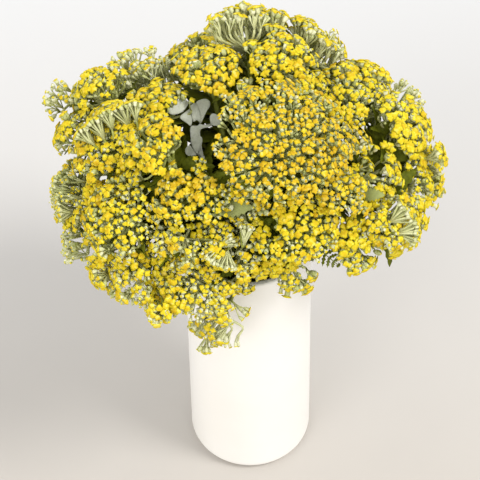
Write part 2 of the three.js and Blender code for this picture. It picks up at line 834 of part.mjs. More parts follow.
const heads = headList();
settle(heads);
heads.forEach((head, index) => {
  random(index + 1);
  head.geometry = headGeometry(head);
  head.solid = headSolid(head);
});
separate(heads);
for (const head of heads) {
  const mesh = meshOf(head.name, head.geometry, head.unopened ? PALE : YELLOW, 0.8);
  mesh.position.copy(head.place);
  mesh.quaternion.copy(head.turn);
  part.add(mesh);
  placed.push({ owner: head.name, solid: head.solid });
}
placed.push({ owner: "vase", solid: solidOf(vaseGeometry()) });
const silver = buildSilver();
const stems = buildStems(heads);
part.add(meshOf("silver_leaf", geometryOf(silver.solid), SILVER, 0.9));
for (const [name, { pieces }] of stems) {
  const fused = pieces.reduce((whole, piece) => whole.add(piece));
  part.add(meshOf("stem_" + name, geometryOf(fused), GREEN, 0.8));
}
const paths = [silver.path, ...[...stems.values()].map((stem) => stem.path)];
part.add(meshOf("water", waterWithHoles(paths), WATER, 0.1));

export default part;
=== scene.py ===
# Cut yellow yarrow in a plain cylinder vase: the finished surfaces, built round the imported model.
# The making is in millimetres, +Z up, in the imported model's frame, and the meshes are written in metres.
import math

import bpy
import numpy as np
from mathutils import Matrix, Vector, geometry


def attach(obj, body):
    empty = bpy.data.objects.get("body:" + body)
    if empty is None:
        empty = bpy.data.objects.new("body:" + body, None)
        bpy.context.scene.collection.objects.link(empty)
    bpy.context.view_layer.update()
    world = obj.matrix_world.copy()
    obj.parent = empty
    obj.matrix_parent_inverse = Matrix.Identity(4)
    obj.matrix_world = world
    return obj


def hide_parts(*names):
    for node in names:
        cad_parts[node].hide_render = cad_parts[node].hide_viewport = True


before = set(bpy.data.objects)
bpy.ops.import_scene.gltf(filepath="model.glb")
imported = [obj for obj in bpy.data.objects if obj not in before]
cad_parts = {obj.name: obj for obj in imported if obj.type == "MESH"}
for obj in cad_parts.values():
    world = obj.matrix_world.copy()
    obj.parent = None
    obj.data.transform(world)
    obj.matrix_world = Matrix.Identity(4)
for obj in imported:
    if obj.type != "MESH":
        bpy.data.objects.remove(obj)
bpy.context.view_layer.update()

MM = 0.001
SEED = 7
UP = np.array([0.0, 0.0, 1.0])
EAST = np.array([1.0, 0.0, 0.0])

# Directions that no stalk takes, used to find one across it, and from where on a way counts as steep
NEAR_UP = UP + 0.01
ASKEW = np.array([0.31, 0.52, 0.8])
ASKEW_UP = np.array([0.3, 0.2, 1.0])
SPIN_SLOPE = 0.31
TUBE_STEEP = 0.8
HEAD_STEEP = 0.9

# A length that counts as none, the digits that a packed corner is read to, and how far a lattice overshoots
TINY = 1e-6
CORNER_DIGITS = 3
LATTICE_SPARE = 4

# The camera: where it looks, how steeply, from how far, and how it is turned
LOOK_AT = np.array([-5.5, 0.0, 230.3])
LOOK_DOWN = math.radians(52.9)
LOOK_BACK = np.array([0.0, -math.cos(LOOK_DOWN), math.sin(LOOK_DOWN)])
LOOK_FROM = 2000.0
LENS = 212.25
SENSOR = 36.0
ROLL = -0.0187

# The light of the room, the point that the lamps face, and each lamp's place, width, power and tint, in
# metres and watts
ROOM_COLOR = (1.0, 0.998, 0.995, 1.0)
ROOM_STRENGTH = 0.97
LAMP_AIM = Vector((0.0, 0.0, 0.28))
LAMPS = {
    "key": ((4.3, -1.8, 7.1), 2.6, 350.0, (1.0, 0.99, 0.975)),
    "fill": ((-3.0, -4.3, 3.9), 3.8, 108.0, (1.0, 1.0, 1.0)),
}

# The floor: half its width in millimetres, and between which distances in metres it pales behind the vase
FLOOR_HALF = 3000.0
FLOOR_FADE = (-0.15, 0.45)

# The curve of screen colours, and the sockets of a colour mix: its share, its two colours and its result
CURVE_KNEE = 0.04045
CURVE_SLOPE = 12.92
CURVE_OFFSET = 0.055
CURVE_POWER = 2.4
MIX_INPUTS = (0, 6, 7)
MIX_RESULT = 2

# The vase and its water
VASE_RADIUS = 45.0
VASE_HEIGHT = 236.0
VASE_WALL = 5.0
VASE_FLOOR = 8.0
BASE_ROUNDING = 8.0
INNER_ROUNDING = 5.0
RIM_ROUNDING = 1.9
FLAT_EDGE = 1.0
VASE_SIDES = 128
CORNER_STEPS = 8
CLEARANCE = 0.3

# The stems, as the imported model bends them
MOUTH_SPREAD = 0.26
FOOT_SPREAD = 0.72
TANGENT_SHARE = 0.38
BRANCH_ROOTS = [0.4, 0.25, 0.3]
BRANCH_GRID = 100
BOW_STEP = 9.0
BOW_RINGS = 5
BOW_WAYS = 8
ACROSS_LEAST = 1.0
STEM_STEPS = 7
BRANCH_STEPS = 5
STEM_RADII = (2.3, 1.7)
BRANCH_RADII = (1.6, 1.3)
STEM_SIDES = 10
BRANCH_SIDES = 8
STEM_POINTS = 44
BRANCH_POINTS = 22
RIDGE_DEPTH = 0.07
KNOT_SWELL = 0.35
KNOT_START = 0.9
STEM_TONE = 0.45
MIDDLE_TONE = 0.5

# The dome of a head and the neck under it, in millimetres or as shares of its radius
DOME_SHARE = 0.22
RIM_DROP = 2.0
UNDERSIDE_DROP = 4.5
NECK_BASE = 11.0
NECK_SHARE = 0.42
RIM_EXCESS = 1.2
OUTLINE_WAYS = 36
OUTLINE_WINDOW = math.radians(20)

# Where the florets of a head stand, and how its rim wavers, splays and sinks
FLORET_PITCH = 4.25
FLORET_JITTER = 0.3
FLORET_LIFT = 1.6
FLORET_FOOT = 3.4
FLORET_HEIGHT = 0.8
FLORET_TILT = 0.3
RIM_SPLAY = 0.7
SPLAY_POWER = 4
RIM_SINK = 2.6
SINK_POWER = 6
RIM_GROWTH = 1.2
RIM_RAGGED = 2.0
RIM_INSET = 0.3
RIM_WAVES = (3, 7)
WAVE_PHASES = (0, 6)
SHARE_LIMIT = 1.05

# The clusters that the florets stand in, and how the clusters and the florets of a head differ
CLUSTER_PITCH = 10.5
CLUSTER_JITTER = 0.24
CLUSTER_PULLS = (0.1, 0.28)
CLUSTER_HEIGHT = 2.2
CLUSTER_TILT = 0.2
CLUSTER_INWARD = 0.86
CLUSTER_DOME = 0.045
CLUSTER_SPLAY = 0.085
CLUSTER_LACK = 0.04
CLUSTER_MOODS = 0.2
MOOD_GROWTH = 0.5
MOOD_LIMIT = 0.4
HEAD_MOOD = 0.16
SWELL_HEIGHT = 1.6
SWELL_LENGTH = 24.0
SIZES = (0.74, 1.2)
HALF_OPEN_SHARE = 0.45
TONE_SPREAD = 0.2
# A cup's tone rises with its head's paleness towards the creamy top of the cup colours, which is partly painted
# highlight.
CUP_TONES = (0.25, 0.5)

# The cup of a floret, as (height, radius) from its foot up
CUP_SIDES = 6
CUP_SWELL = (0.92, 1.14)
CUP_FOOT = (-4.9, 0.5)
CUP_WALL = [(-3.2, 1.4), (-0.8, 1.55)]
CUP_TIP = -0.2

# The cap of a floret: how many blunt rays it has, how their corners stand out, and the disc in its middle
CAP_RAYS = (3, 5)
RAY_LOBES = (0.6, 0.6, -1.0)
CAP_FOOT = (-0.7, 0.95)
CAP_EDGE = -0.15
CAP_RADII = {"open": 2.55, "half": 1.7}
CAP_SPREAD = (0.9, 1.12)
CAP_UNEVEN = 0.1
CAP_LOBING = (0.16, 0.36)
CAP_DROOP = (-0.3, 0.1)
CAP_TALL = (0.4, 0.8)
DISC_EDGE = 0.3
DISC_SHARE = 0.62
TIP_RINGS = [(-0.8, 1.25, 0, 0), (0.1, 1.0, 0.08, 0)]
TIP_TALL = 0.8
CUP, PETAL, DISC = 0, 1, 2
TEMPLATE_COUNTS = {"open": 12, "half": 3, "bud": 3}

# The young buds between the florets: the radius at the foot, and radii at distances below the tip
BUD_SIDES = 4
BUD_PITCH = 4.7
BUD_INSET = 0.55
BUD_DEPTHS = (2.2, 5.6)
BUD_FOOT = 0.35
BUD_SWELLS = [(4.6, 0.45), (3.2, 0.95), (0.9, 1.1)]
# The buds' tones sit low: their green is darkened with painted shade, so the layer under the florets reads as
# shadow.
BUD_TONES_WITH_PAINTED_SHADE = (0.1, 0.45)
BUD_TONE_SPREAD = 0.18

# The rays that carry the clusters, and the stalks of the florets
RAY_RADII = (1.05, 0.8)
RAY_SIDES = 5
RAY_POINTS = 6
RAY_RISE = 0.25
RAY_PULLS = (0.4, 0.22)
RAY_TONES = (0.35, 0.6)
STALK_RADII = (0.5, 0.4)
STALK_SWELL = (0.8, 0.6)
STALK_SIDES = 3
STALK_POINTS = 3
STALK_PULLS = (0.35, 0.3)
STALK_TONES = (0.35, 0.65)
PALE_TONE = 0.4

# The small sprays that fill the gaps between the heads
BUNCH_MIDDLE = np.array([0.0, 5.0, 235.0])
GAP_TRIES = 2200
GAP_LOWEST = -0.05
GAP_LEAST = 5.0
GAP_NEIGHBOURS = 24
GAP_WIDEST = 36.0
GAP_OPEN_SIDE = math.radians(125)
GAP_SPACING = 10.0
SPRAY_DEPTHS = (2.0, 15.0)
SPRAY_RADII = (4.5, 8.5)
SPRAY_NODE = 9.0
SPRAY_TILT = 0.3
SPRAY_HEIGHT = 0.8
SPRAY_STALK = 1.0
SPRAY_PULLS = (0.4, 0.3)
SPRAY_DOME = 0.03
SPRAY_SPLAY = 0.06
SHOOT_ENDS = 2
SHOOT_DROP = 8.0
SHOOT_COST = 3.0
SHOOT_TONES = (0.3, 0.7)
GOLDEN_ANGLE = math.pi * (3 - math.sqrt(5))

# The toothed leaves along the stems, under the heads, and their section as (across, fold, thickness)
BLADE_WIDTH = 0.17
BLADE_ROWS = 13
BLADE_NOTCH = 0.66
BLADE_FORM = (0.8, 0.9)
BLADE_STALK = 0.5
BLADE_TIP = 0.15
BLADE_BOW = 0.1
BLADE_SECTION = [
    (-1, 0.28, 0.15), (0, 0, 0.3), (1, 0.28, 0.15), (1, 0.28, -0.15), (0, 0, -0.3), (-1, 0.28, -0.15),
]
BLADE_SPACING = 6.5
BLADE_END = 0.98
BLADE_LENGTHS = (24.0, 42.0)
BLADE_RISE = (0.1, 0.7)
BLADE_TURN = 0.25
BLADE_TONES = (0, 0.62)
BLADE_TRIES = 8
BLADE_COVER = (5.0, 3.0)
BLADE_OPEN = 42.0
BLADE_LOWEST = 8.0

# Nothing is added in front of these: the middle of a view that stays clear, and how wide it is
CLEAR_VIEWS = [
    ((-27, 17, 331), 21), ((-14, 32, 330), 11), ((-1, -58, 246), 13), ((92, -48, 272), 11),
    ((9, -46, 227), 13), ((-41, 30, 338), 11), ((54, -35, 248), 12), ((24, -44, 227), 14),
]

# Nothing is added anywhere along these lines of sight, which let the light through
LIGHT_VIEWS = [((-13, 24, 322), 6), ((-20, 34, 338), 6), ((57, -64, 293), 5.5), ((53, -63, 284), 6.5)]

# The heads have no florets and buds in front of these, where leaves, shade or light show between them
BITES = [
    ((86, -14, 326), 10), ((89, -32, 316), 10), ((-4, -46, 326), 6), ((-10, -80, 214), 10),
    ((-41, 28, 337), 12), ((-30, 17, 330), 12), ((-37, 8, 313), 13), ((-24, 40, 340), 6),
    ((10, -51, 310), 8), ((79, -10, 325), 9), ((89, -4, 323), 9), ((96, 0, 320), 6), ((94, -1, 342), 5),
]

# The silver leaf: its start, the azimuth and tilt that it faces, and how it leans, cups, curls and folds
SILVER_AT = np.array([-30.0, 12.0, 309.0])
SILVER_FACING = (-80, 40)
SILVER_LEAN = 0.13
SILVER_SIZE = 0.94
SILVER_CUP = 4.0
SILVER_SPAN = (40.0, 17.0)
SILVER_CURL = 60.0
SILVER_FOLD = 0.35
SILVER_WAVES = [(0.9, 0.5), (0.35, -0.6)]
SILVER_HALF_THICKNESS = 0.45
SILVER_STALK = (1.7, 1.3)
SILVER_GRID = 1.1
EDGE_CLEAR = 0.5
MERGE_WITHIN = 1e-5
CORNER_CUT = 0.25
CORNER_CUTS = 2

# Its leaflets, each with its height over the leaf's plane and its outline along and across the leaf
SILVER_LEAFLETS = [
    (0.0, [(-1, 1.4), (2, 3), (3, 5.6), (8, 7.6), (15, 8.6), (22.4, 8.8), (23.8, 6.9), (23.2, 2.9),
           (25, 1.7), (24, -0.8), (24, -4.2), (25.4, -7.6), (23.6, -8.4), (22, -4.6), (21, 1.6), (15, 1.4),
           (8, 0.6), (3, -0.6), (-1, -1)]),
    (1.5, [(15.6, 9.2), (16.2, 0.4), (12, 0), (7, 1.4), (2.4, 4), (3.6, 5.6), (9.4, 8.2)]),
    (0.8, [(10, 9.6), (6.8, 13.4), (2.4, 12.8), (0.6, 8.4), (1.6, 4.6), (3.2, 5), (7.4, 8)]),
    (1.0, [(22.6, 8.4), (25.4, 11), (27.6, 14.6), (30.2, 17), (34.4, 11), (36.2, 8.4), (30, 6.7),
           (25.6, 7.2)]),
    (1.9, [(25.6, 6.4), (30, 6.9), (35.4, 8.9), (37.8, 9), (41, 3.8), (36.6, 1.8), (30, 0.6), (25.4, 1.4),
           (28, 3.6)]),
    (1.1, [(41, 4.4), (43.6, -3.4), (41, -7), (37, -6.4), (34.2, -3.8), (29, -1.4), (25, 0.4), (24.6, 2),
           (30, 1.6), (36.4, 2.5)]),
    (4.6, [(31.6, 23.6), (34.6, 25.4), (40.4, 21.6), (43.2, 15.4), (42.6, 10.6), (39.6, 9.6), (35.6, 12.2),
           (32.2, 17.2)]),
    (0.2, [(24, -6.6), (29, -5.6), (32.4, -7.4), (31.6, -11), (28, -14.4), (23.6, -14.2), (22.6, -9.8)]),
]

# The ferny leaves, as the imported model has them: a leaf, where it may stand, its rib and its leaflets
LEAF_LENGTH = 44.0
LEAF_HALF_WIDTH = 10.5
LEAF_PAIRS = 11
LEAF_FIRST = 0.9
LEAF_LAST = 0.97
LEAF_FORM = (0.75, 0.8)
LEAF_ARCH = 6.0
LEAF_DROP = 12.0
LEAF_LEAST_RADIUS = 25.0
LEAF_TURNS = [0, 40, -40, 80, -80, 120, -120, 160, -160]
LEAF_RISES = [15, -15, -40]
LEAF_MATCH = 7.0
RIB_RADII = (0.75, 0.3)
RIB_POINTS = 9
RIB_SIDES = 5
RIB_TONE = 0.8
LEAFLET_SHORTEST = 1.5
LEAFLET_LEAN = 0.55
LEAFLET_RISE = (0.0, 0.35)
LEAFLET_ROWS = 8
LEAFLET_LEAST = 0.35
LEAFLET_WIDTH = 1.25
LEAFLET_FORM = 0.8
LEAFLET_NOTCH = 0.45
LEAFLET_TIP = 0.08
LEAFLET_HANG = 0.12
LEAFLET_SECTION = np.array([[1, 0], [0, 0.3], [-1, 0], [0, -0.3]])
LEAFLET_TONES = (0.2, 0.7)

# The look of a head: how open, golden, pale, large and far apart its florets are, how deep its clusters
# start, and how thick its stalks are
PLAIN = {"open": 0.94, "gold": 0.25, "pitch": 1.0, "pale": 0.5, "node": 10.5, "size": 1.0, "stalk": 1.0}
GREEN = {"open": 0.08, "pale": 0.95, "pitch": 1.12, "node": 15.0}
STYLES = {
    "crown_1": {"gold": 0.85, "pitch": 0.98, "size": 0.85, "open": 0.88, "pale": 0.6},
    "crown_2": {"gold": 0.7, "pitch": 0.98, "size": 0.86, "open": 0.88, "pale": 0.85},
    "right_top_1": {"open": 0.96, "gold": 0.05, "pale": 1.0, "size": 1.1},
    "right_top_2": {"open": 0.9, "gold": 0.05, "pale": 1.0, "size": 1.05},
    "right_back_1": {"open": 0.76, "gold": 0.1, "pale": 1.0},
    "right_back_2": GREEN,
    "right_front_1": {"open": 0.96, "gold": 0.05, "pale": 1.0, "size": 1.1},
    "right_front_2": {"open": 0.9, "gold": 0.05, "pale": 1.0, "size": 1.08},
    "back_left_1": {"open": 0.72, "gold": 0.15, "pale": 1.3, "node": 15.0, "stalk": 1.1},
    "back_right_1": {"open": 0.72, "gold": 0.2, "pale": 1.3, "node": 15.0, "stalk": 1.1},
    "back_left_2": {"open": 0.9, "pale": 0.9},
    "back_right_2": {"open": 0.86, "pale": 1.1},
    "front_pale_1": {**GREEN, "open": 0.3, "pale": 1.35},
    "front_pale_2": {"open": 0.4, "pale": 1.5, "pitch": 1.1, "node": 14.0},
    "front_pale_3": {"open": 0.5, "gold": 0.5, "pale": 1.0},
    "front_3": {"open": 0.85, "pale": 0.8},
    "near_3": {"open": 0.66, "pale": 1.2},
    "near_1": {"gold": 0.7, "pale": 0.3},
    "near_2": {"open": 0.52, "pale": 1.3, "size": 0.93},
    "left_1": {"open": 0.86, "pale": 0.7},
    "left_low_1": {"gold": 0.2, "pale": 0.6, "open": 0.88, "size": 0.95},
    "left_low_2": {"open": 0.62, "pale": 1.3, "size": 0.93},
    "left_low_3": GREEN,
    "left_2": {**GREEN, "pale": 0.9, "pitch": 0.74, "size": 0.72, "node": 16.0, "stalk": 1.25},
    "left_back_2": {"open": 0.5, "pale": 0.9, "pitch": 1.1, "node": 13.0},
    "left_back_3": {**GREEN, "pale": 1.35},
    "left_near_1": {"gold": 0.45},
    "top_left_1": {"gold": 0.4},
    "front_2": {"open": 0.98, "gold": 0.05, "pale": 0.4, "size": 1.12},
}

SPRAY_STYLE = {**PLAIN, "open": 0.75, "pale": 0.6}

# Sprays placed one by one: the middle of the top, the azimuth and tilt it faces, its radius, depth and style
FAN = {"open": 0.2, "pale": 1.35, "pitch": 0.66, "size": 0.7, "stalk": 1.15}
SMALL = {"open": 0.8, "pale": 0.9, "pitch": 0.9}
RIMMED = {"open": 0.62, "gold": 0.15, "pale": 1.0, "pitch": 0.72, "size": 0.8, "stalk": 1.3}
PALE = {"open": 0.45, "pale": 1.35, "pitch": 0.95}
SOFT = {"open": 0.66, "pale": 1.35, "pitch": 0.9, "size": 0.92}
KNOB = {**GREEN, "pitch": 0.75, "size": 0.8}
SPRIGS = [
    (-10, -56, 307, 25, 72, 7, 12, FAN),
    (-16, -72, 294, -103, 126, 8, 12, FAN),
    (-27, -70, 302, -136, 115, 6.5, 11, FAN),
    (-1, -57, 320, 78, 54, 6, 12, FAN),
    (0, -60, 252, -62, 108, 6, 10, {**SMALL, "size": 0.85}),
    (-7, -62, 255, -100, 108, 6, 10, {**SMALL, "size": 0.85}),
    (9, -62, 275, -95, 74, 7.5, 10, SMALL),
    (18, -62, 280, -80, 70, 7, 10, SMALL),
    (27, -60, 281, -70, 74, 7.5, 10, SMALL),
    (-3, -72, 241, -39, 115, 4.6, 10, {**SMALL, "size": 0.85}),
    (-66, 92, 330, 110, 30, 4.6, 13, KNOB),
    (-88, 98, 319, 125, 50, 8, 13, {**GREEN, "pale": 1.35}),
    (-79, 98, 322, 110, 45, 8, 13, {**GREEN, "pale": 1.35}),
    (-131, -14, 284, -170, 80, 8, 13, KNOB),
    (-105, -58, 263, -140, 95, 8, 11, SMALL),
    (-64, -84, 255, -115, 105, 8, 11, SMALL),
    (-32, -79, 208, -110, 130, 5, 13, {**SMALL, "size": 0.85}),
    (41, 100, 350, 70, 40, 8, 12, SMALL),
    (97, 70, 326, 30, 50, 8.5, 12, SMALL),
    (88, 76, 328, 45, 45, 8, 12, SMALL),
    (135, 14, 306, 0, 65, 8, 12, SMALL),
    (-118, -2, 287, -120, 45, 7.5, 11, KNOB),
    (-121, -5, 262, -120, 50, 7.5, 11, KNOB),
    (-109, -40, 260, -120, 60, 7.5, 11, GREEN),
    (-86, 1, 307, -90, 37, 8, 11, SMALL),
    (-80, -8, 306, -90, 37, 8, 11, SMALL),
    (-65, -60, 261, -90, 50, 8, 11, SMALL),
    (-65, -70, 254, -90, 60, 8, 11, SMALL),
    (-19, -76, 256, -90, 90, 8, 11, PALE),
    (-25, -78, 250, -90, 95, 8, 11, PALE),
    (-16, -80, 243, -90, 100, 7, 11, PALE),
    (-112, 12, 340, 138, 66, 7, 13, RIMMED),
    (-103, 17, 346, 122, 58, 8.5, 15, RIMMED),
    (-94, 19, 351, 108, 62, 7.5, 12, RIMMED),
    (-86, 23, 354, 122, 50, 9, 16, RIMMED),
    (-75, 22, 356, 96, 58, 6.5, 12, RIMMED),
    (115, -46, 296, 0, 88, 8.5, 15, RIMMED),
    (108, -34, 306, 30, 70, 8, 14, RIMMED),
    (-62, -88, 263, -100, 60, 9, 11, PALE),
    (-48, -80, 268, -90, 45, 9, 11, PALE),
    (-104, -8, 304, -100, 40, 8, 11, SMALL),
    (-86, -19, 313, -90, 37, 8, 11, SMALL),
    (-111, -16, 292, -110, 45, 8, 11, KNOB),
    (-69, -52, 285, -100, 52, 8, 11, PALE),
    (-58, -58, 277, -95, 56, 8, 11, PALE),
    (-104, -50, 275, -120, 60, 7, 11, SMALL),
    (88, -44, 305, -60, 50, 8, 11, PALE),
    (102, -50, 293, -50, 60, 8, 11, PALE),
    (80, -47, 292, -80, 58, 7.5, 11, PALE),
    (-30, -49, 306, -95, 40, 7.5, 11, SOFT),
    (-24, -65, 307, -110, 50, 7, 11, SOFT),
    (-17, -56, 311, -80, 42, 7, 11, SOFT),
    (-2, -69, 286, -75, 68, 7, 11, SOFT),
    (-28, -68, 284, -100, 66, 7.5, 11, SOFT),
    (-17, -73, 270, -92, 78, 7.5, 11, SOFT),
    (-7, -66, 266, -80, 78, 6.5, 11, SOFT),
    (65, 13, 352, -70, 40, 8, 11, {**SMALL, "gold": 0.4}),
    (75, 19, 342, -60, 42, 8, 11, SOFT),
]

# Leaves placed one by one: the base, the tip, how wide they are as a share of their length, and how pale
LEAVES = [
    ((82, 4, 296), (118, 28, 312), 0.2, 0.0),
    ((88, -12, 292), (117, 6, 299), 0.2, 0.1),
    ((76, 20, 300), (102, 34, 323), 0.2, 0.05),
    ((96, 0, 288), (112, 24, 302), 0.2, 0.0),
    ((-18, -44, 322), (4, -48, 330), 0.26, 0.95),
    ((78, -25, 311), (93, -29, 316), 0.28, 0.92),
    ((-96, -4, 300), (-74, -20, 314), 0.2, 0.1),
    ((-86, -42, 280), (-68, -56, 287), 0.2, 0.0),
    ((-1, -47, 301), (19, -44, 313), 0.16, 0.3),
    ((15, -50, 298), (5, -42, 317), 0.15, 0.0),
    ((4, -52, 297), (17, -45, 306), 0.15, 0.15),
    ((82, 4, 296), (88, 24, 312), 0.3, 0.1),
    ((82, 4, 296), (104, 18, 309), 0.28, 0.05),
    ((82, 4, 296), (70, 14, 306), 0.3, 0.2),
]


def unit(vectors):
    vectors = np.asarray(vectors, float)
    return vectors / np.linalg.norm(vectors, axis=-1, keepdims=True)


def facing(azimuth, tilt):
    """The direction at an azimuth and at a tilt away from upright, both in degrees."""
    azimuth, tilt = math.radians(azimuth), math.radians(tilt)
    return np.array([math.cos(azimuth) * math.sin(tilt), math.sin(azimuth) * math.sin(tilt), math.cos(tilt)])


def smooth_mesh(name, vertices, faces, materials, indices=None, tones=None):
    """A mesh from millimetre vertices, with a material index for each face and a tone for each vertex."""
    mesh = bpy.data.meshes.new(name)
    mesh.from_pydata((np.asarray(vertices) * MM).tolist(), [], faces)
    for material in materials:
        mesh.materials.append(material)
    if indices is not None:
        mesh.polygons.foreach_set("material_index", np.asarray(indices, np.int32))
        tone = mesh.attributes.new("tone", "FLOAT", "POINT")
        tone.data.foreach_set("value", np.asarray(tones, np.float32))
    mesh.polygons.foreach_set("use_smooth", np.ones(len(mesh.polygons), bool))
    mesh.update()
    piece = bpy.data.objects.new(name, mesh)
    bpy.context.scene.collection.objects.link(piece)
    return piece


class Soup:
    """Vertices and faces gathered from many small shapes before they become one mesh."""

    def __init__(self):
        self.vertices, self.faces, self.indices, self.tones = [], [], [], []
        self.count = 0

    def add(self, vertices, faces, index, tones):
        """Adds a shape, with one material index or one for each face, and one tone or one for each vertex."""
        vertices = np.asarray(vertices, float).reshape(-1, 3)
        self.vertices.append(vertices)
        self.faces.extend([[corner + self.count for corner in face] for face in faces])
        self.indices.extend(index if hasattr(index, "__len__") else [index] * len(faces))
        self.tones.append(np.broadcast_to(np.asarray(tones, float), (len(vertices),)))
        self.count += len(vertices)

    def copies(self, template, centres, axes, sizes, spins, tones, under_tones):
        """Adds a copy of a template on each centre, with its Z axis along the axis given."""
        points, faces, indices, under = template
        z = unit(axes)
        beside = np.stack([np.cos(spins), np.sin(spins), np.full(len(spins), SPIN_SLOPE)], -1)
        x = unit(np.cross(z, unit(beside)))
        turns = np.stack([x, np.cross(z, x), z], -1)
        placed = np.einsum("nij,vj->nvi", turns, points) * sizes[:, None, None] + centres[:, None, :]
        for number in range(len(centres)):
            own = np.where(np.arange(len(points)) < under, under_tones[number], tones[number])
            self.add(placed[number], faces, indices, own)

    def piece(self, name, materials):
        tones = np.concatenate(self.tones)
        return smooth_mesh(name, np.concatenate(self.vertices), self.faces, materials, self.indices, tones)


def ring_faces(rings, sides):
    """The faces between the rings of a shape whose vertices are its rings, one after another."""
    faces = []
    for low in range(0, (rings - 1) * sides, sides):
        for side in range(sides):
            after = (side + 1) % sides
            faces.append([low + side, low + after, low + sides + after, low + sides + side])
    return faces


def capped_faces(rings, sides):
    """The faces of a tube of rings that is closed at both ends."""
    last = (rings - 1) * sides
    caps = [list(range(sides))[::-1], [last + side for side in range(sides)]]
    return ring_faces(rings, sides) + caps


def tipped_faces(rings, sides):
    """The faces of a shape with a flat foot, some rings and then one vertex at its tip."""
    last = (rings - 1) * sides
    fan = [[last + side, last + (side + 1) % sides, last + sides] for side in range(sides)]
    return [list(range(sides))[::-1]] + ring_faces(rings, sides) + fan


def ring_ways(across, beside, sides):
    """The directions from the middle of each ring to its corners."""
    angles = 2 * np.pi * np.arange(sides) / sides
    return across[:, None] * np.cos(angles)[:, None] + beside[:, None] * np.sin(angles)[:, None]


def tubes(paths, radii, sides, ridge=0.0):
    """Round tubes with capped ends along paths of the same number of points: vertices of each, and faces."""
    paths = np.asarray(paths, float)
    number, length = paths.shape[:2]
    ways = unit(np.gradient(paths, axis=1))
    across = unit(np.cross(ways[:, 0], np.where(np.abs(ways[:, :1, 2]) > TUBE_STEEP, EAST, UP)))
    rings = []
    for k in range(length):
        across = unit(across - np.sum(across * ways[:, k], -1, keepdims=True) * ways[:, k])
        size = np.asarray(radii)[k] * (1 + ridge * np.cos(np.arange(sides) * np.pi))
        turn = ring_ways(across, np.cross(ways[:, k], across), sides)
        rings.append(paths[:, k, None] + size[:, None] * turn)
    return np.stack(rings, 1).reshape(number, -1, 3), capped_faces(length, sides)


def bezier(points, count):
    """Points along a Bezier curve of four control points, which may be arrays of curves."""
    t = np.linspace(0, 1, count)[:, None]
    points = [np.asarray(point, float)[..., None, :] for point in points]
    inner = points[1] * 3 * t * (1 - t) ** 2 + points[2] * 3 * t**2 * (1 - t)
    return points[0] * (1 - t) ** 3 + inner + points[3] * t**3


def curve(start, start_way, end, end_way, pulls, count):
    """Points along a curve, or along many, that leaves its start and reaches its end along the ways given."""
    length = np.linalg.norm(end - start, axis=-1, keepdims=True)
    leave = start + start_way * length * pulls[0]
    arrive = end - end_way * length * pulls[1]
    return bezier([start, leave, arrive, end], count)


def node_points(node):
    """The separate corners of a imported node, in millimetres."""
    vertices = np.array([vertex.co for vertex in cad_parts[node].data.vertices]) / MM
    return np.unique(np.round(vertices, CORNER_DIGITS), axis=0)


def dome_drop(radius, distance):
    return DOME_SHARE * radius * (distance / radius) ** 2


class Head:
    """A flower head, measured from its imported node: where it is, which way it faces, and its outline."""

    def __init__(self, node):
        self.node = node
        self.name = node[len("head_"):]
        self.stem, number = self.name.rsplit("_", 1)
        self.number = int(number)
        self.style = {**PLAIN, **STYLES.get(self.name, {})}
        points = node_points(node)
        middle = points.mean(0)
        _, ways = np.linalg.eigh(np.cov((points - middle).T))
        normal = ways[:, 0]
        self.normal = normal * np.sign(normal @ (middle - UP * VASE_HEIGHT))
        self.u = unit(np.cross(self.normal, UP if abs(self.normal[2]) < HEAD_STEEP else EAST))
        self.v = np.cross(self.normal, self.u)
        bottom = points[np.argmin(points @ self.normal)]
        self.measure_outline(points - bottom)
        drop = dome_drop(self.radius, self.radius)
        self.place = bottom + self.normal * (drop + RIM_DROP + UNDERSIDE_DROP)
        self.hub = self.place - self.normal * (NECK_BASE + NECK_SHARE * self.radius + drop)

    def measure_outline(self, offsets):
        """The reach of the head in some directions round its normal, and its mean radius."""
        flat = np.stack([offsets @ self.u, offsets @ self.v], -1)
        reach, around = np.hypot(*flat.T), np.arctan2(flat[:, 1], flat[:, 0])
        self.angles = 2 * np.pi * np.arange(OUTLINE_WAYS) / OUTLINE_WAYS
        apart = (around[None] - self.angles[:, None] + np.pi) % (2 * np.pi) - np.pi
        near = np.abs(apart) < OUTLINE_WINDOW
        self.reach = np.array([np.max(reach[row] * np.cos(turn[row])) for row, turn in zip(near, apart)])
        self.radius = self.reach.mean() - RIM_EXCESS

    def outline(self, angles):
        return np.interp(angles % (2 * np.pi), [*self.angles, 2 * np.pi], [*self.reach, self.reach[0]])

    def point(self, spots, height):
        """The places over some spots on the plane of the head, at these heights."""
        return self.place + spots[:, :1] * self.u + spots[:, 1:] * self.v + height[:, None] * self.normal


def hex_lattice(reach, pitch, jitter, rng):
    """A jittered six-sided lattice that fills a circle and a little more."""
    count = 2 * int(reach / pitch) + LATTICE_SPARE
    steps = np.arange(-count, count + 1)
    q, r = [grid.ravel() for grid in np.meshgrid(steps, steps)]
    points = np.stack([pitch * (q + r / 2), pitch * r * math.sqrt(3) / 2], -1)
    points = points[np.hypot(*points.T) < reach + pitch]
    return points + rng.uniform(-jitter, jitter, points.shape) * pitch


def without_bites(head, spots):
    """The spots on a head's dome that don't stand before a view through the bunch."""
    places = head.point(spots, -dome_drop(head.radius, np.hypot(*spots.T)))
    return spots[[not hides_a_view(place, BITES) for place in places]]


def floret_spots(head, rng):
    """The spots of a head's florets, inside its ragged rim."""
    pitch = FLORET_PITCH * head.style["pitch"]
    spots = hex_lattice(head.reach.max() + RIM_GROWTH, pitch, FLORET_JITTER, rng)
    around = np.arctan2(spots[:, 1], spots[:, 0])
    wave = sum(np.sin(count * around + rng.uniform(*WAVE_PHASES)) for count in RIM_WAVES)
    rim = head.outline(around) + RIM_GROWTH + RIM_RAGGED * wave
    return without_bites(head, spots[np.hypot(*spots.T) < rim - pitch * RIM_INSET])


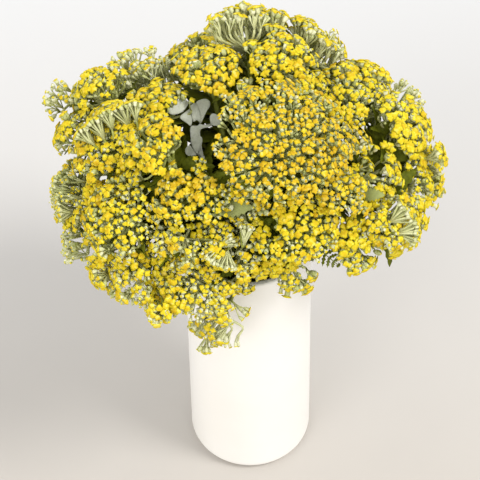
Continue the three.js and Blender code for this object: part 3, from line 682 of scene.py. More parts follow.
def in_clusters(head, spots, rng):
    """The spots that a cluster holds, the cluster of each, and the middles of the clusters."""
    pitch = CLUSTER_PITCH * head.style["pitch"]
    clusters = hex_lattice(head.reach.max() + RIM_GROWTH, pitch, CLUSTER_JITTER, rng)
    owner = np.linalg.norm(spots[:, None] - clusters[None], axis=-1).argmin(1)
    kept = rng.uniform(size=len(clusters))[owner] > CLUSTER_LACK
    used, owner = np.unique(owner[kept], return_inverse=True)
    spots = spots[kept]
    return spots, owner, np.array([spots[owner == k].mean(0) for k in range(len(used))])


def lay_out(head, rng):
    """The florets of a head: their places, axes and clusters, the clusters' nodes, and their moods."""
    spots, owner, centres = in_clusters(head, floret_spots(head, rng), rng)
    count = len(centres)
    waves = rng.uniform(0, 2 * np.pi, 2)
    swell = np.prod(np.sin(2 * np.pi * centres / SWELL_LENGTH + waves), axis=1) * SWELL_HEIGHT
    lifts = rng.uniform(-1, 1, count) * CLUSTER_HEIGHT + swell
    tilts = rng.normal(0, CLUSTER_TILT, (count, 2))
    offset = spots - centres[owner]
    spots = spots - offset * rng.uniform(*CLUSTER_PULLS, count)[owner][:, None]
    distance = np.hypot(*spots.T)
    share = np.minimum(distance / head.radius, SHARE_LIMIT)
    height = lifts[owner] - dome_drop(head.radius, distance) - CLUSTER_DOME * (offset**2).sum(1)
    height = height - (tilts[owner] * offset).sum(1) - RIM_SINK * share**SINK_POWER
    height = height + rng.uniform(-1, 1, len(spots)) * FLORET_HEIGHT
    slope = 2 * DOME_SHARE * share + RIM_SPLAY * share**SPLAY_POWER
    lean = slope[:, None] * spots / np.maximum(distance, TINY)[:, None]
    lean = lean + CLUSTER_SPLAY * offset + tilts[owner] + rng.normal(0, FLORET_TILT, spots.shape)
    axes = unit(head.normal + lean[:, :1] * head.u + lean[:, 1:] * head.v)
    depth = lifts - dome_drop(head.radius, np.hypot(*centres.T)) - head.style["node"]
    nodes = head.point(centres * CLUSTER_INWARD, depth)
    slant = rng.normal(0, HEAD_MOOD, 2)
    moods = rng.normal(0, CLUSTER_MOODS, count)[owner] + spots @ slant / head.radius
    return head.point(spots, height), axes, owner, nodes, moods


def lay_out_buds(head, nodes, rng):
    """The young buds that stand lower between the florets: their tops, and the nodes that they grow from."""
    spots = hex_lattice(head.reach.max(), BUD_PITCH * head.style["pitch"], FLORET_JITTER, rng)
    edge = head.outline(np.arctan2(spots[:, 1], spots[:, 0])) - BUD_PITCH * BUD_INSET
    spots = without_bites(head, spots[np.hypot(*spots.T) < edge])
    height = -dome_drop(head.radius, np.hypot(*spots.T)) - rng.uniform(*BUD_DEPTHS, len(spots))
    tops = head.point(spots, height)
    nearest = np.linalg.norm(tops[:, None] - nodes[None], axis=-1).argmin(1)
    return tops, nodes[nearest]


def revolve(rings, sides, top, uneven=0.0, turns=0.0):
    """Vertices and faces of a shape turned about Z from (height, radius, lobing, droop) rings to a tip."""
    angles = 2 * np.pi * np.arange(sides) / sides + turns
    lobes = np.resize(RAY_LOBES, sides)
    vertices = []
    for height, radius, lobing, droop in rings:
        size = radius * (1 + lobing * lobes + uneven * (lobing > 0))
        vertices.append(np.stack([size * np.cos(angles), size * np.sin(angles), height + droop * lobes], -1))
    return np.vstack([*vertices, [0, 0, top]]), tipped_faces(len(rings), sides)


def floret_cap(kind, rng):
    """The flat cap of a floret, a few blunt rays round a low disc: vertices, faces and their parts."""
    sides = len(RAY_LOBES) * rng.integers(*CAP_RAYS)
    wide = CAP_RADII[kind] * rng.uniform(*CAP_SPREAD)
    uneven = rng.normal(0, CAP_UNEVEN, sides)
    turns = rng.normal(0, CAP_UNEVEN, sides)
    lobing = rng.uniform(*CAP_LOBING)
    droop = rng.uniform(*CAP_DROOP)
    rays = (CAP_EDGE, wide, lobing, droop)
    disc = (DISC_EDGE, wide * DISC_SHARE, lobing / 2, droop / 2)
    shape = revolve([(*CAP_FOOT, 0, 0), rays, disc], sides, rng.uniform(*CAP_TALL), uneven, turns)
    return *shape, [PETAL] * (1 + 2 * sides) + [DISC] * sides


def floret_template(kind, rng):
    """A floret, a green cup and on it a cap or a bud's tip: vertices, faces, parts, and the cup's count."""
    swell = rng.uniform(*CUP_SWELL)
    wall = [(height, radius * swell, 0, 0) for height, radius in CUP_WALL]
    cup, cup_faces = revolve([(*CUP_FOOT, 0, 0), *wall], CUP_SIDES, CUP_TIP)
    if kind == "bud":
        cap, cap_faces = revolve(TIP_RINGS, CUP_SIDES, TIP_TALL)
        cap_parts = [CUP] * (1 + CUP_SIDES) + [PETAL] * CUP_SIDES
    else:
        cap, cap_faces, cap_parts = floret_cap(kind, rng)
    faces = cup_faces + [[corner + len(cup) for corner in face] for face in cap_faces]
    return np.vstack([cup, cap]), faces, [CUP] * len(cup_faces) + cap_parts, len(cup)


def add_buds(soup, tops, roots, tones):
    """Young buds, each one a spindle that grows from its node and swells below its tip."""
    axes = unit(tops - roots)
    side = unit(np.cross(axes, ASKEW))
    turn = ring_ways(side, np.cross(axes, side), BUD_SIDES)
    rings = [roots[:, None] + BUD_FOOT * turn]
    rings.extend((tops - axes * back)[:, None] + radius * turn for back, radius in BUD_SWELLS)
    faces = tipped_faces(len(rings), BUD_SIDES)
    for one, tone in zip(np.concatenate([*rings, tops[:, None]], 1), tones):
        soup.add(one, faces, CUP, tone)


def color(code):
    """The linear colour of a hexadecimal screen colour."""
    linear = []
    for shift in (16, 8, 0):
        level = (code >> shift & 255) / 255
        curved = ((level + CURVE_OFFSET) / (1 + CURVE_OFFSET)) ** CURVE_POWER
        linear.append(level / CURVE_SLOPE if level <= CURVE_KNEE else curved)
    return linear + [1.0]


class Paint:
    """A material and short ways to add its nodes."""

    def __init__(self, name, roughness):
        self.material = bpy.data.materials.new(name)
        self.material.use_nodes = True
        self.nodes = self.material.node_tree.nodes
        self.shader = self.nodes["Principled BSDF"]
        self.shader.inputs["Roughness"].default_value = roughness
        self.place = self.nodes.new("ShaderNodeTexCoord").outputs["Object"]

    def link(self, out, to):
        self.material.node_tree.links.new(out, to)

    def noise(self, grain, detail=2.0):
        """A noise whose grain is about this many millimetres across."""
        node = self.nodes.new("ShaderNodeTexNoise")
        node.inputs["Scale"].default_value = 1 / (grain * MM)
        node.inputs["Detail"].default_value = detail
        self.link(self.place, node.inputs["Vector"])
        return node.outputs["Fac"]

    def tone(self):
        node = self.nodes.new("ShaderNodeAttribute")
        node.attribute_name = "tone"
        return node.outputs["Fac"]

    def ramp(self, value, stops):
        """A colour ramp over (position, screen colour) stops."""
        node = self.nodes.new("ShaderNodeValToRGB")
        elements = node.color_ramp.elements
        while len(elements) < len(stops):
            elements.new(1.0)
        for element, (position, code) in zip(elements, stops):
            element.position = position
            element.color = color(code)
        self.link(value, node.inputs["Fac"])
        return node.outputs["Color"]

    def mix(self, share, one, two):
        """A mix of two colours, whose share and colours may each be a socket or a value."""
        node = self.nodes.new("ShaderNodeMix")
        node.data_type = "RGBA"
        for number, value in zip(MIX_INPUTS, (share, one, two)):
            socket = node.inputs[number]
            if isinstance(value, bpy.types.NodeSocket):
                self.link(value, socket)
            else:
                socket.default_value = value
        return node.outputs[MIX_RESULT]

    def bump(self, value, height):
        """A bump of the surface by a noise, this many millimetres high."""
        node = self.nodes.new("ShaderNodeBump")
        node.inputs["Distance"].default_value = height * MM
        node.inputs["Strength"].default_value = 1.0
        self.link(value, node.inputs["Height"])
        self.link(node.outputs["Normal"], self.shader.inputs["Normal"])

    def finish(self, base, **sockets):
        """Sets the base colour and the sockets that are the same all over, and gives the material."""
        self.link(base, self.shader.inputs["Base Color"])
        for name, value in sockets.items():
            self.shader.inputs[name.replace("_", " ")].default_value = value
        return self.material


def plant_paint(name, roughness, shine, tones, mottling_and_highlights, share, mottles, bumps, height):
    """A matt plant surface: the tone of each small shape, mixed with a share of noise colour, which mottles it
    and on petals and cups also paints highlights, and a fine bump.
    """
    paint = Paint(name, roughness)
    mottled_and_highlit = paint.ramp(paint.noise(*mottles), mottling_and_highlights)
    base = paint.mix(share, paint.ramp(paint.tone(), tones), mottled_and_highlit)
    paint.bump(paint.noise(*bumps), height)
    return paint.finish(base, Specular_IOR_Level=shine)


def petal_material(name, lemon, gold, deep):
    # The noise mottles the yellow with darker amber, and its palest, creamy stop is painted highlight on the
    # caps.
    return plant_paint(
        name, roughness=0.7, shine=0.25, tones=[(0.0, lemon), (0.55, gold), (1.0, deep)],
        mottling_and_highlights=[(0.36, 0xC2A208), (0.55, 0xE8D41C), (0.68, 0xF6EE8A)],
        share=0.45, mottles=(2.6, 3.0), bumps=(0.5,), height=0.15)


def cup_material():
    # The darkest tone is painted shade, worn by the buds low between the florets; the creamy top tone and the
    # whitish noise stop are painted highlights over the cups' own pale grey-green, strongest in pale heads.
    return plant_paint(
        "cup_green", roughness=0.8, shine=0.2, tones=[(0.0, 0x7E862A), (0.5, 0xBAC072), (1.0, 0xF2F1D0)],
        mottling_and_highlights=[(0.35, 0x8F983A), (0.65, 0xF2F1CC)],
        share=0.4, mottles=(1.0, 3.0), bumps=(0.6,), height=0.2)


def stem_material():
    return plant_paint(
        "stem_green", roughness=0.72, shine=0.2, tones=[(0.0, 0x585E04), (0.5, 0x949A3A), (1.0, 0xE6E6B6)],
        mottling_and_highlights=[(0.3, 0x727A16), (0.7, 0xC6C97A)],
        share=0.35, mottles=(2.5, 4.0), bumps=(0.6, 3.0), height=0.12)


def leaf_material():
    return plant_paint(
        "leaf_green", roughness=0.62, shine=0.15, tones=[(0.0, 0x444A00), (0.6, 0x6E7614), (1.0, 0xBCC284)],
        mottling_and_highlights=[(0.3, 0x464C00), (0.7, 0x868C24)],
        share=0.4, mottles=(3.0, 4.0), bumps=(0.7, 3.0), height=0.2)


def silver_material():
    paint = Paint("silver_felt", roughness=0.9)
    felt = paint.ramp(paint.noise(grain=0.9, detail=4.0), [(0.3, 0xA9AD90), (0.7, 0xCACEB6)])
    patches = paint.ramp(paint.noise(grain=7.0), [(0.3, 0xDADED1), (0.7, 0xF4F6EF)])
    base = paint.mix(share=0.5, one=felt, two=patches)
    paint.bump(paint.noise(grain=0.5, detail=4.0), height=0.35)
    return paint.finish(base, Sheen_Weight=0.4, Sheen_Roughness=0.5)


def vase_material():
    paint = Paint("vase_ceramic", roughness=0.42)
    cream = paint.ramp(paint.noise(grain=60.0, detail=3.0), [(0.3, 0xFBF8F1), (0.7, 0xFDFBF6)])
    paint.bump(paint.noise(grain=1.6, detail=3.0), height=0.02)
    return paint.finish(cream, Coat_Weight=0.15, Coat_Roughness=0.3)


def water_material():
    paint = Paint("water_clear", roughness=0.04)
    tint = paint.ramp(paint.noise(grain=30.0), [(0.0, 0xEAF2EC), (1.0, 0xF4F8F4)])
    return paint.finish(tint, Transmission_Weight=0.95, IOR=1.33)


def floor_material():
    paint = Paint("pale_floor", roughness=0.7)
    pale = paint.ramp(paint.noise(grain=120.0, detail=3.0), [(0.3, 0xBAB3AA), (0.7, 0xBEB7AE)])
    axes = paint.nodes.new("ShaderNodeSeparateXYZ")
    paint.link(paint.place, axes.inputs["Vector"])
    back = paint.nodes.new("ShaderNodeMapRange")
    back.inputs["From Min"].default_value, back.inputs["From Max"].default_value = FLOOR_FADE
    paint.link(axes.outputs["Y"], back.inputs["Value"])
    return paint.finish(paint.mix(back.outputs["Result"], pale, color(0xD2D2D2)))


def corner(x, y, radius, start, end):
    """Points round a corner, from one angle to another in degrees."""
    angles = np.radians(np.linspace(start, end, CORNER_STEPS + 1))
    return [(x + radius * math.cos(angle), y + radius * math.sin(angle)) for angle in angles]


def build_vase():
    """The vase, turned about Z from a profile of (radius, height), up its outside and down its inside."""
    inside = VASE_RADIUS - VASE_WALL
    profile = [
        (VASE_RADIUS - BASE_ROUNDING - FLAT_EDGE, 0.0),
        *corner(VASE_RADIUS - BASE_ROUNDING, BASE_ROUNDING, BASE_ROUNDING, -90, 0),
        (VASE_RADIUS, VASE_HEIGHT / 2),
        *corner(VASE_RADIUS - RIM_ROUNDING, VASE_HEIGHT - RIM_ROUNDING, RIM_ROUNDING, 0, 90),
        *corner(inside + RIM_ROUNDING, VASE_HEIGHT - RIM_ROUNDING, RIM_ROUNDING, 90, 180),
        *corner(inside - INNER_ROUNDING, VASE_FLOOR + INNER_ROUNDING, INNER_ROUNDING, 0, -90),
        (inside - INNER_ROUNDING - FLAT_EDGE, VASE_FLOOR),
    ]
    angles = 2 * np.pi * np.arange(VASE_SIDES) / VASE_SIDES
    vertices = [[r * math.cos(a), r * math.sin(a), z] for r, z in profile for a in angles]
    piece = smooth_mesh("vase_ceramic", vertices, capped_faces(len(profile), VASE_SIDES), [vase_material()])
    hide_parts("vase")
    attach(piece, "root")


def bows():
    """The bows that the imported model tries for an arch, to the side and upwards."""
    yield 0.0, 0.0
    for ring in range(1, BOW_RINGS + 1):
        for way in range(BOW_WAYS):
            angle = 2 * math.pi * way / BOW_WAYS
            yield ring * BOW_STEP * math.cos(angle), ring * BOW_STEP * math.sin(angle)


def fitted_arch(start, start_way, end, end_way, steps, points):
    """The arch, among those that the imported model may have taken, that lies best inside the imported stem."""
    across = np.cross(end - start, end_way)
    across = unit(across) if np.linalg.norm(across) >= ACROSS_LEAST else EAST
    pull = TANGENT_SHARE * np.linalg.norm(end - start)
    best, least = None, np.inf
    for aside, lift in bows():
        bow = across * aside + UP * lift
        arch = [start, start + start_way * pull + bow, end - end_way * pull + bow, end]
        inner = bezier(arch, steps + 1)[1:-1]
        miss = np.linalg.norm(inner[:, None] - points[None], axis=-1).min(1).mean()
        if miss < least:
            best, least = arch, miss
    return best


def through_mouth(end):
    """Where a stem to this end stands on the vase's floor, and where it passes the vase's mouth."""
    mouth = np.array([end[0] * MOUTH_SPREAD, end[1] * MOUTH_SPREAD, VASE_HEIGHT])
    return np.array([mouth[0] * FOOT_SPREAD, mouth[1] * FOOT_SPREAD, VASE_FLOOR + 2 * CLEARANCE]), mouth


def stem_arch(head, points):
    foot, mouth = through_mouth(head.hub)
    return foot, fitted_arch(mouth, unit(mouth - foot), head.hub, head.normal, STEM_STEPS - 1, points)


def branch_arch(head, main, points):
    along = bezier(main, BRANCH_GRID + 1)
    at = int(round(BRANCH_ROOTS[head.number - 2] * BRANCH_GRID))
    way = unit(along[at + 1] - along[at - 1])
    return fitted_arch(along[at], way, head.hub, head.normal, BRANCH_STEPS, points)


def swelling(radii, count):
    """Radii that taper along a stalk and swell a little into the knot at its end."""
    t = np.linspace(0, 1, count)
    knot = np.clip((t - KNOT_START) / (1 - KNOT_START), 0, 1) ** 2
    return radii[0] + (radii[1] - radii[0]) * t + KNOT_SWELL * knot


def leaflet(base, way, length):
    """The points of a cut leaflet that grows from its base along a way."""
    width = unit(np.cross(UP, way))
    over = np.cross(way, width)
    along = np.linspace(0, 1, LEAFLET_ROWS)
    teeth = np.where(np.arange(LEAFLET_ROWS) % 2, 1.0, LEAFLET_NOTCH)
    half = (LEAFLET_LEAST + LEAFLET_WIDTH * np.sin(np.pi * along**LEAFLET_FORM)) * teeth
    half[-1] = LEAFLET_TIP
    middle = base + along[:, None] * way * length - UP * (LEAFLET_HANG * length * along[:, None] ** 2)
    points = middle[:, None] + half[:, None, None] * LEAFLET_SECTION[:, :1] * width
    return points + LEAFLET_SECTION[:, 1:] * over * np.minimum(1, half)[:, None, None]


def fern_leaf(rng):
    """A ferny leaf along X in millimetres: a rib with pairs of leaflets, each cut into small teeth."""
    soup = Soup()
    t = np.linspace(0, 1, RIB_POINTS)
    rib = np.stack([t * LEAF_LENGTH, 0 * t, -LEAF_ARCH * t**2], -1)
    vertices, faces = tubes([rib], np.linspace(*RIB_RADII, RIB_POINTS), RIB_SIDES)
    soup.add(vertices[0], faces, 0, RIB_TONE)
    faces = capped_faces(LEAFLET_ROWS, len(LEAFLET_SECTION))
    for pair in range(LEAF_PAIRS):
        share = (pair + LEAF_FIRST) / LEAF_PAIRS
        reach = share * LEAF_LAST
        base = np.array([reach * LEAF_LENGTH, 0, -LEAF_ARCH * reach**2])
        form = math.sin(math.pi * share ** LEAF_FORM[0]) ** LEAF_FORM[1]
        for side in (-1, 1):
            way = unit([LEAFLET_LEAN, side, rng.uniform(*LEAFLET_RISE)])
            points = leaflet(base, way, LEAF_HALF_WIDTH * form + LEAFLET_SHORTEST)
            soup.add(points, faces, 0, rng.uniform(*LEAFLET_TONES))
    return np.concatenate(soup.vertices), soup.faces, np.concatenate(soup.tones)


def leaf_place(head, path, points):
    """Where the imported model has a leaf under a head: its base and its axes, or None."""
    far = np.linalg.norm(path - path[-1], axis=1)
    base = path[np.nonzero(far >= LEAF_DROP)[0][-1]]
    outward = base * (1 - UP)
    outward = unit(outward - (outward @ head.normal) * head.normal)
    best, least = None, LEAF_MATCH
    for turn in LEAF_TURNS:
        spin = Matrix.Rotation(math.radians(turn), 3, Vector(head.normal))
        flat = np.array(spin @ Vector(outward))
        for rise in LEAF_RISES:
            along = flat * math.cos(math.radians(rise)) + head.normal * math.sin(math.radians(rise))
            across = unit(np.cross(head.normal, along))
            over = np.cross(along, across)
            tip = base + along * LEAF_LENGTH - over * LEAF_ARCH
            miss = np.linalg.norm(points - tip, axis=1).min()
            if miss < least:
                best, least = (base, np.stack([along, across, over])), miss
    return best


class Canopy:
    """How far the florets reach from the middle of the bunch in each direction."""

    def __init__(self, florets):
        out = florets - BUNCH_MIDDLE
        self.florets = florets
        self.reach = np.linalg.norm(out, axis=1)
        self.ways = out / self.reach[:, None]

    def nearest(self, ways):
        """The florets next to each direction, how far from it they are, and their mean reach."""
        angles = np.arccos(np.clip(ways @ self.ways.T, -1, 1))
        nearest = np.argsort(angles, axis=1)[:, :GAP_NEIGHBOURS]
        level = self.reach[nearest].mean(1)
        return nearest, np.take_along_axis(angles, nearest, 1) * level[:, None], level

    def covers(self, point, depth):
        """Whether a point lies under the florets round it, this deep or deeper."""
        out = point - BUNCH_MIDDLE
        reach = np.linalg.norm(out)
        _, apart, level = self.nearest((out / reach)[None])
        return level[0] - reach > depth and apart[0, -1] < BLADE_OPEN


def hides_a_view(point, views):
    """Whether a point stands between the camera and one of some views, or in a line of sight to the light."""
    for middle, width in views:
        offset = point - np.array(middle)
        ahead = offset @ LOOK_BACK
        if ahead > -width / 2 and np.linalg.norm(offset - ahead * LOOK_BACK) < width:
            return True
    for middle, width in LIGHT_VIEWS:
        offset = point - np.array(middle)
        if np.linalg.norm(offset - offset @ LOOK_BACK * LOOK_BACK) < width:
            return True
    return False


def gaps(canopy, rng):
    """The gaps between the heads, seen from inside the bunch: a point in each, and the way out through it."""
    tries = np.arange(GAP_TRIES)
    rise = 1 - (1 - GAP_LOWEST) * (tries + 0.5) / GAP_TRIES
    flat = np.sqrt(1 - rise**2)
    ways = np.stack([flat * np.cos(tries * GOLDEN_ANGLE), flat * np.sin(tries * GOLDEN_ANGLE), rise], -1)
    nearest, apart, level = canopy.nearest(ways)
    found = np.nonzero((apart[:, 0] > GAP_LEAST) & (apart[:, -1] < GAP_WIDEST))[0]
    chosen = [(np.array(sprig[:3]), None) for sprig in SPRIGS]
    for number in rng.permutation(found):
        way = ways[number]
        point = BUNCH_MIDDLE + way * (level[number] - rng.uniform(*SPRAY_DEPTHS))
        across = unit(np.cross(way, NEAR_UP))
        offsets = canopy.florets[nearest[number]] - point
        bearings = np.sort(np.arctan2(offsets @ np.cross(way, across), offsets @ across))
        open_side = np.diff([*bearings, bearings[0] + 2 * np.pi]).max()
        near_other = any(np.linalg.norm(point - other) < GAP_SPACING for other, _ in chosen)
        if open_side < GAP_OPEN_SIDE and not near_other and not hides_a_view(point, CLEAR_VIEWS):
            chosen.append((point, way))
    return chosen[len(SPRIGS):]


def nearest_stem(point, paths):
    """The head whose stalk passes nearest to a point, and where and which way a shoot to it would leave."""
    best, least = None, np.inf
    for owner, path in paths.items():
        inner = path[SHOOT_ENDS:-SHOOT_ENDS]
        inward = np.linalg.norm(point - BUNCH_MIDDLE) - np.linalg.norm(inner - BUNCH_MIDDLE, axis=1)
        away = np.linalg.norm(inner - point, axis=1) + SHOOT_COST * np.maximum(0, SHOOT_DROP - inward)
        at = int(away.argmin())
        here = at + SHOOT_ENDS
        if away[at] < least:
            best, least = (owner, inner[at], unit(path[here + 1] - path[here - 1])), away[at]
    return best


def spray(point, axis, radius, depth, pitch, paths, rng):
    """A small umbel on a side shoot: the head that owns it, and its florets, its node and its stalk."""
    node = point - axis * depth
    owner, start, start_way = nearest_stem(node, paths)
    u = unit(np.cross(axis, NEAR_UP))
    v = np.cross(axis, u)
    spots = hex_lattice(radius, FLORET_PITCH * pitch, FLORET_JITTER, rng)
    spots = spots[np.hypot(*spots.T) < radius]
    height = rng.uniform(-SPRAY_HEIGHT, SPRAY_HEIGHT, len(spots)) - SPRAY_DOME * (spots**2).sum(1)
    places = point + spots[:, :1] * u + spots[:, 1:] * v + height[:, None] * axis
    lean = SPRAY_SPLAY * spots + rng.normal(0, FLORET_TILT, spots.shape)
    axes = unit(axis + lean[:, :1] * u + lean[:, 1:] * v)
    return owner, (places, axes, node, curve(start, start_way, node, axis, SPRAY_PULLS, RAY_POINTS + 2))


def fill_gaps(heads, canopy, paths, rng):
    """The small sprays of florets in the gaps between the heads, by the head that owns each one."""
    sprays = {head.name: [] for head in heads}
    for point, way in gaps(canopy, rng):
        axis = unit(way + rng.normal(0, SPRAY_TILT, 3))
        owner, made = spray(point, axis, rng.uniform(*SPRAY_RADII), SPRAY_NODE, 1.0, paths, rng)
        sprays[owner].append((SPRAY_STYLE, *made))
    for x, y, z, azimuth, tilt, radius, depth, style in SPRIGS:
        point, style = np.array([x, y, z]), {**PLAIN, **style}
        owner, made = spray(point, facing(azimuth, tilt), radius, depth, style["pitch"], paths, rng)
        sprays[owner].append((style, *made))
    return sprays


def stem_leaves(canopy, paths, rng):
    """The leaves along each stalk, under the florets: the base, tip, facing, width and tone of each."""
    blades = {}
    for owner, path in paths.items():
        blades[owner] = []
        length = np.linalg.norm(np.diff(path, axis=0), axis=1).sum()
        turn = rng.uniform(0, 2 * np.pi)
        for share in np.arange(BLADE_SPACING / length, BLADE_END, BLADE_SPACING / length):
            at = min(int(share * (len(path) - 1)) + 1, len(path) - 2)
            base, way = path[at], unit(path[at + 1] - path[at - 1])
            if base[2] < VASE_HEIGHT + BLADE_LOWEST:
                continue
            side = unit(np.cross(way, ASKEW_UP))
            other = np.cross(way, side)
            for _ in range(BLADE_TRIES):
                turn += GOLDEN_ANGLE
                along = unit(math.cos(turn) * side + math.sin(turn) * other + way * rng.uniform(*BLADE_RISE))
                tip = base + along * rng.uniform(*BLADE_LENGTHS)
                middle = (base + tip) / 2
                covered = canopy.covers(tip, BLADE_COVER[0]) and canopy.covers(middle, BLADE_COVER[1])
                if covered and not any(hides_a_view(spot, CLEAR_VIEWS) for spot in (middle, tip)):
                    face = unit(middle - BUNCH_MIDDLE) + rng.normal(0, BLADE_TURN, 3)
                    blades[owner].append((base, tip, face, BLADE_WIDTH, rng.uniform(*BLADE_TONES)))
                    break
    for base, tip, width, tone in LEAVES:
        base, tip = np.array(base), np.array(tip)
        face = LOOK_BACK + unit(base + tip - 2 * BUNCH_MIDDLE)
        blades[nearest_stem(base, paths)[0]].append((base, tip, face, width, tone))
    return blades


def add_florets(soup, style, places, axes, moods, templates, rng):
    """The florets of a head or a spray, open, half open or in bud, in the sizes and tones of its style."""
    count = len(places)
    opened = style["open"] - np.abs(moods)
    half_opened = opened + (1 - opened) * HALF_OPEN_SHARE
    draw = rng.uniform(size=count)
    kinds = np.where(draw < opened, 0, np.where(draw < half_opened, 1, 2))
    growth = 1 + MOOD_GROWTH * np.clip(moods, -MOOD_LIMIT, MOOD_LIMIT)
    sizes = rng.uniform(*SIZES, count) * style["size"] * growth
    tones = np.clip(rng.normal(style["gold"], TONE_SPREAD, count) + moods, 0, 1)
    under = CUP_TONES[0] + CUP_TONES[1] * style["pale"]
    under_tones = np.clip(rng.normal(under, TONE_SPREAD, count) - moods, 0, 1)
    for kind, variants in enumerate(templates.values()):
        pick = rng.integers(0, len(variants), count)
        for number, template in enumerate(variants):
            mask = (kinds == kind) & (pick == number)
            centres = places[mask] + axes[mask] * FLORET_LIFT
            spins = rng.uniform(0, 2 * np.pi, mask.sum())
            soup.copies(template, centres, axes[mask], sizes[mask], spins, tones[mask], under_tones[mask])


def add_stalks(soup, places, axes, starts, ways, style, rng):
    """The thin stalks from the ends of the rays to the florets, thicker and paler in a paler head."""
    swell = (STALK_SWELL[0] + STALK_SWELL[1] * style["pale"]) * style["stalk"]
    feet = places + axes * (FLORET_LIFT - FLORET_FOOT)
    paths = curve(starts, ways, feet, axes, STALK_PULLS, STALK_POINTS)
    vertices, faces = tubes(paths, np.linspace(*STALK_RADII, STALK_POINTS) * swell, STALK_SIDES)
    for one in vertices:
        soup.add(one, faces, 0, rng.uniform(*STALK_TONES) + PALE_TONE * style["pale"])


def add_rays(soup, head, florets, rng):
    """The rays from the knot of a head to its clusters, and the stalks from there to the florets."""
    places, axes, owner, nodes, _ = florets
    leaving = unit(unit(nodes - head.hub) + RAY_RISE * head.normal)
    paths = curve(head.hub, leaving, nodes, head.normal, RAY_PULLS, RAY_POINTS)
    vertices, faces = tubes(paths, np.linspace(*RAY_RADII, RAY_POINTS), RAY_SIDES)
    for one in vertices:
        soup.add(one, faces, 0, rng.uniform(*RAY_TONES) + PALE_TONE * head.style["pale"])
    add_stalks(soup, places, axes, nodes[owner], head.normal, head.style, rng)


def add_shoots(soup, sprays, rng):
    """The side shoots that carry the small sprays, and the stalks from their nodes to the florets."""
    for style, places, axes, node, stalk in sprays:
        vertices, faces = tubes([stalk], np.linspace(SPRAY_STALK, RAY_RADII[1], len(stalk)), RAY_SIDES)
        soup.add(vertices[0], faces, 0, rng.uniform(*SHOOT_TONES))
        add_stalks(soup, places, axes, node, unit(stalk[-1] - stalk[-2]), style, rng)


def add_blade(soup, base, tip, face, width, tone):
    """A lance-shaped leaf with blunt teeth, folded a little along its middle and bowed outwards."""
    along = unit(tip - base)
    length = np.linalg.norm(tip - base)
    across = unit(np.cross(face, along))
    over = np.cross(along, across)
    t = np.linspace(0, 1, BLADE_ROWS)
    teeth = np.where(np.arange(BLADE_ROWS) % 2, 1.0, BLADE_NOTCH)
    half = length * width * np.sin(np.pi * t ** BLADE_FORM[0]) ** BLADE_FORM[1] * teeth + BLADE_STALK
    half[-1] = BLADE_TIP
    middle = base + along * (length * t)[:, None] + over * (length * BLADE_BOW * np.sin(np.pi * t))[:, None]
    rows = [middle + (half * side)[:, None] * across + (half * fold + thick)[:, None] * over
            for side, fold, thick in BLADE_SECTION]
    soup.add(np.stack(rows, 1), capped_faces(BLADE_ROWS, len(BLADE_SECTION)), 1, tone)


def add_fern(soup, head, path, points, leaf):
    """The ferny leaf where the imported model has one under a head."""
    place = leaf_place(head, path, points)
    if place:
        base, axes = place
        spots, faces, tones = leaf
        soup.add(base + spots @ axes, faces, 1, tones)


def build_head(head, florets, buds, sprays, materials, templates, rng):
    """The florets and buds of a head and of the small sprays on its stalk."""
    soup = Soup()
    places, axes, _, _, moods = florets
    add_florets(soup, head.style, places, axes, moods, templates, rng)
    for style, places, axes, _, _ in sprays:
        add_florets(soup, style, places, axes, np.zeros(len(places)), templates, rng)
    # The buds take low, darkened tones, painted shade under the florets.
    tone = BUD_TONES_WITH_PAINTED_SHADE[0] + BUD_TONES_WITH_PAINTED_SHADE[1] * head.style["pale"]
    add_buds(soup, *buds, np.clip(rng.normal(tone, BUD_TONE_SPREAD, len(buds[0])), 0, 1))
    piece = soup.piece("florets_" + head.name, materials)
    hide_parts(head.node)
    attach(piece, "root")


def by_stem(heads):
    """The names of the stems in their order, each with its own heads in the order of their numbers."""
    for stem in sorted({head.stem for head in heads}):
        yield stem, sorted((head for head in heads if head.stem == stem), key=lambda head: head.number)


def stem_paths(heads):
    """The path of the stalk of each head, from the vase's floor or from its main stem to the head's knot."""
    paths = {}
    for stem, own in by_stem(heads):
        points = node_points("stem_" + stem)
        foot, main = stem_arch(own[0], points)
        arch = bezier(main, STEM_POINTS)
        paths[own[0].name] = np.vstack([foot, (foot + arch[0]) / 2, arch])
        for head in own[1:]:
            paths[head.name] = bezier(branch_arch(head, main, points), BRANCH_POINTS)
    return paths


def build_stem(name, heads, layouts, paths, sprays, blades, materials, leaf, rng):
    """A stem with its branches, its leaves, and the rays and stalks under its heads."""
    points = node_points("stem_" + name)
    soup = Soup()
    for head in heads:
        path = paths[head.name]
        radii, sides = (STEM_RADII, STEM_SIDES) if head.number == 1 else (BRANCH_RADII, BRANCH_SIDES)
        vertices, faces = tubes([path], swelling(radii, len(path)), sides, RIDGE_DEPTH)
        soup.add(vertices[0], faces, 0, STEM_TONE)
        add_rays(soup, head, layouts[head.name], rng)
        if head.radius > LEAF_LEAST_RADIUS:
            add_fern(soup, head, path, points, leaf)
        add_shoots(soup, sprays[head.name], rng)
        for blade in blades[head.name]:
            add_blade(soup, *blade)
    piece = soup.piece("greens_" + name, materials)
    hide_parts("stem_" + name)
    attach(piece, "root")


def rounded(outline):
    """A closed outline with its corners cut off again and again."""
    points = np.asarray(outline, float)
    rest = 1 - CORNER_CUT
    for _ in range(CORNER_CUTS):
        after = np.roll(points, -1, axis=0)
        pairs = [rest * points + CORNER_CUT * after, CORNER_CUT * points + rest * after]
        points = np.stack(pairs, 1).reshape(-1, 2)
    return points


def inside_outline(points, outline):
    """Which of some points lie inside a closed outline."""
    x, y = points[:, :1], points[:, 1:]
    x1, y1 = outline.T
    x2, y2 = np.roll(outline, -1, axis=0).T
    crosses = (y1 > y) != (y2 > y)
    with np.errstate(divide="ignore", invalid="ignore"):
        at = x1 + (y - y1) * (x2 - x1) / (y2 - y1)
    return (crosses & (x < at)).sum(1) % 2 == 1


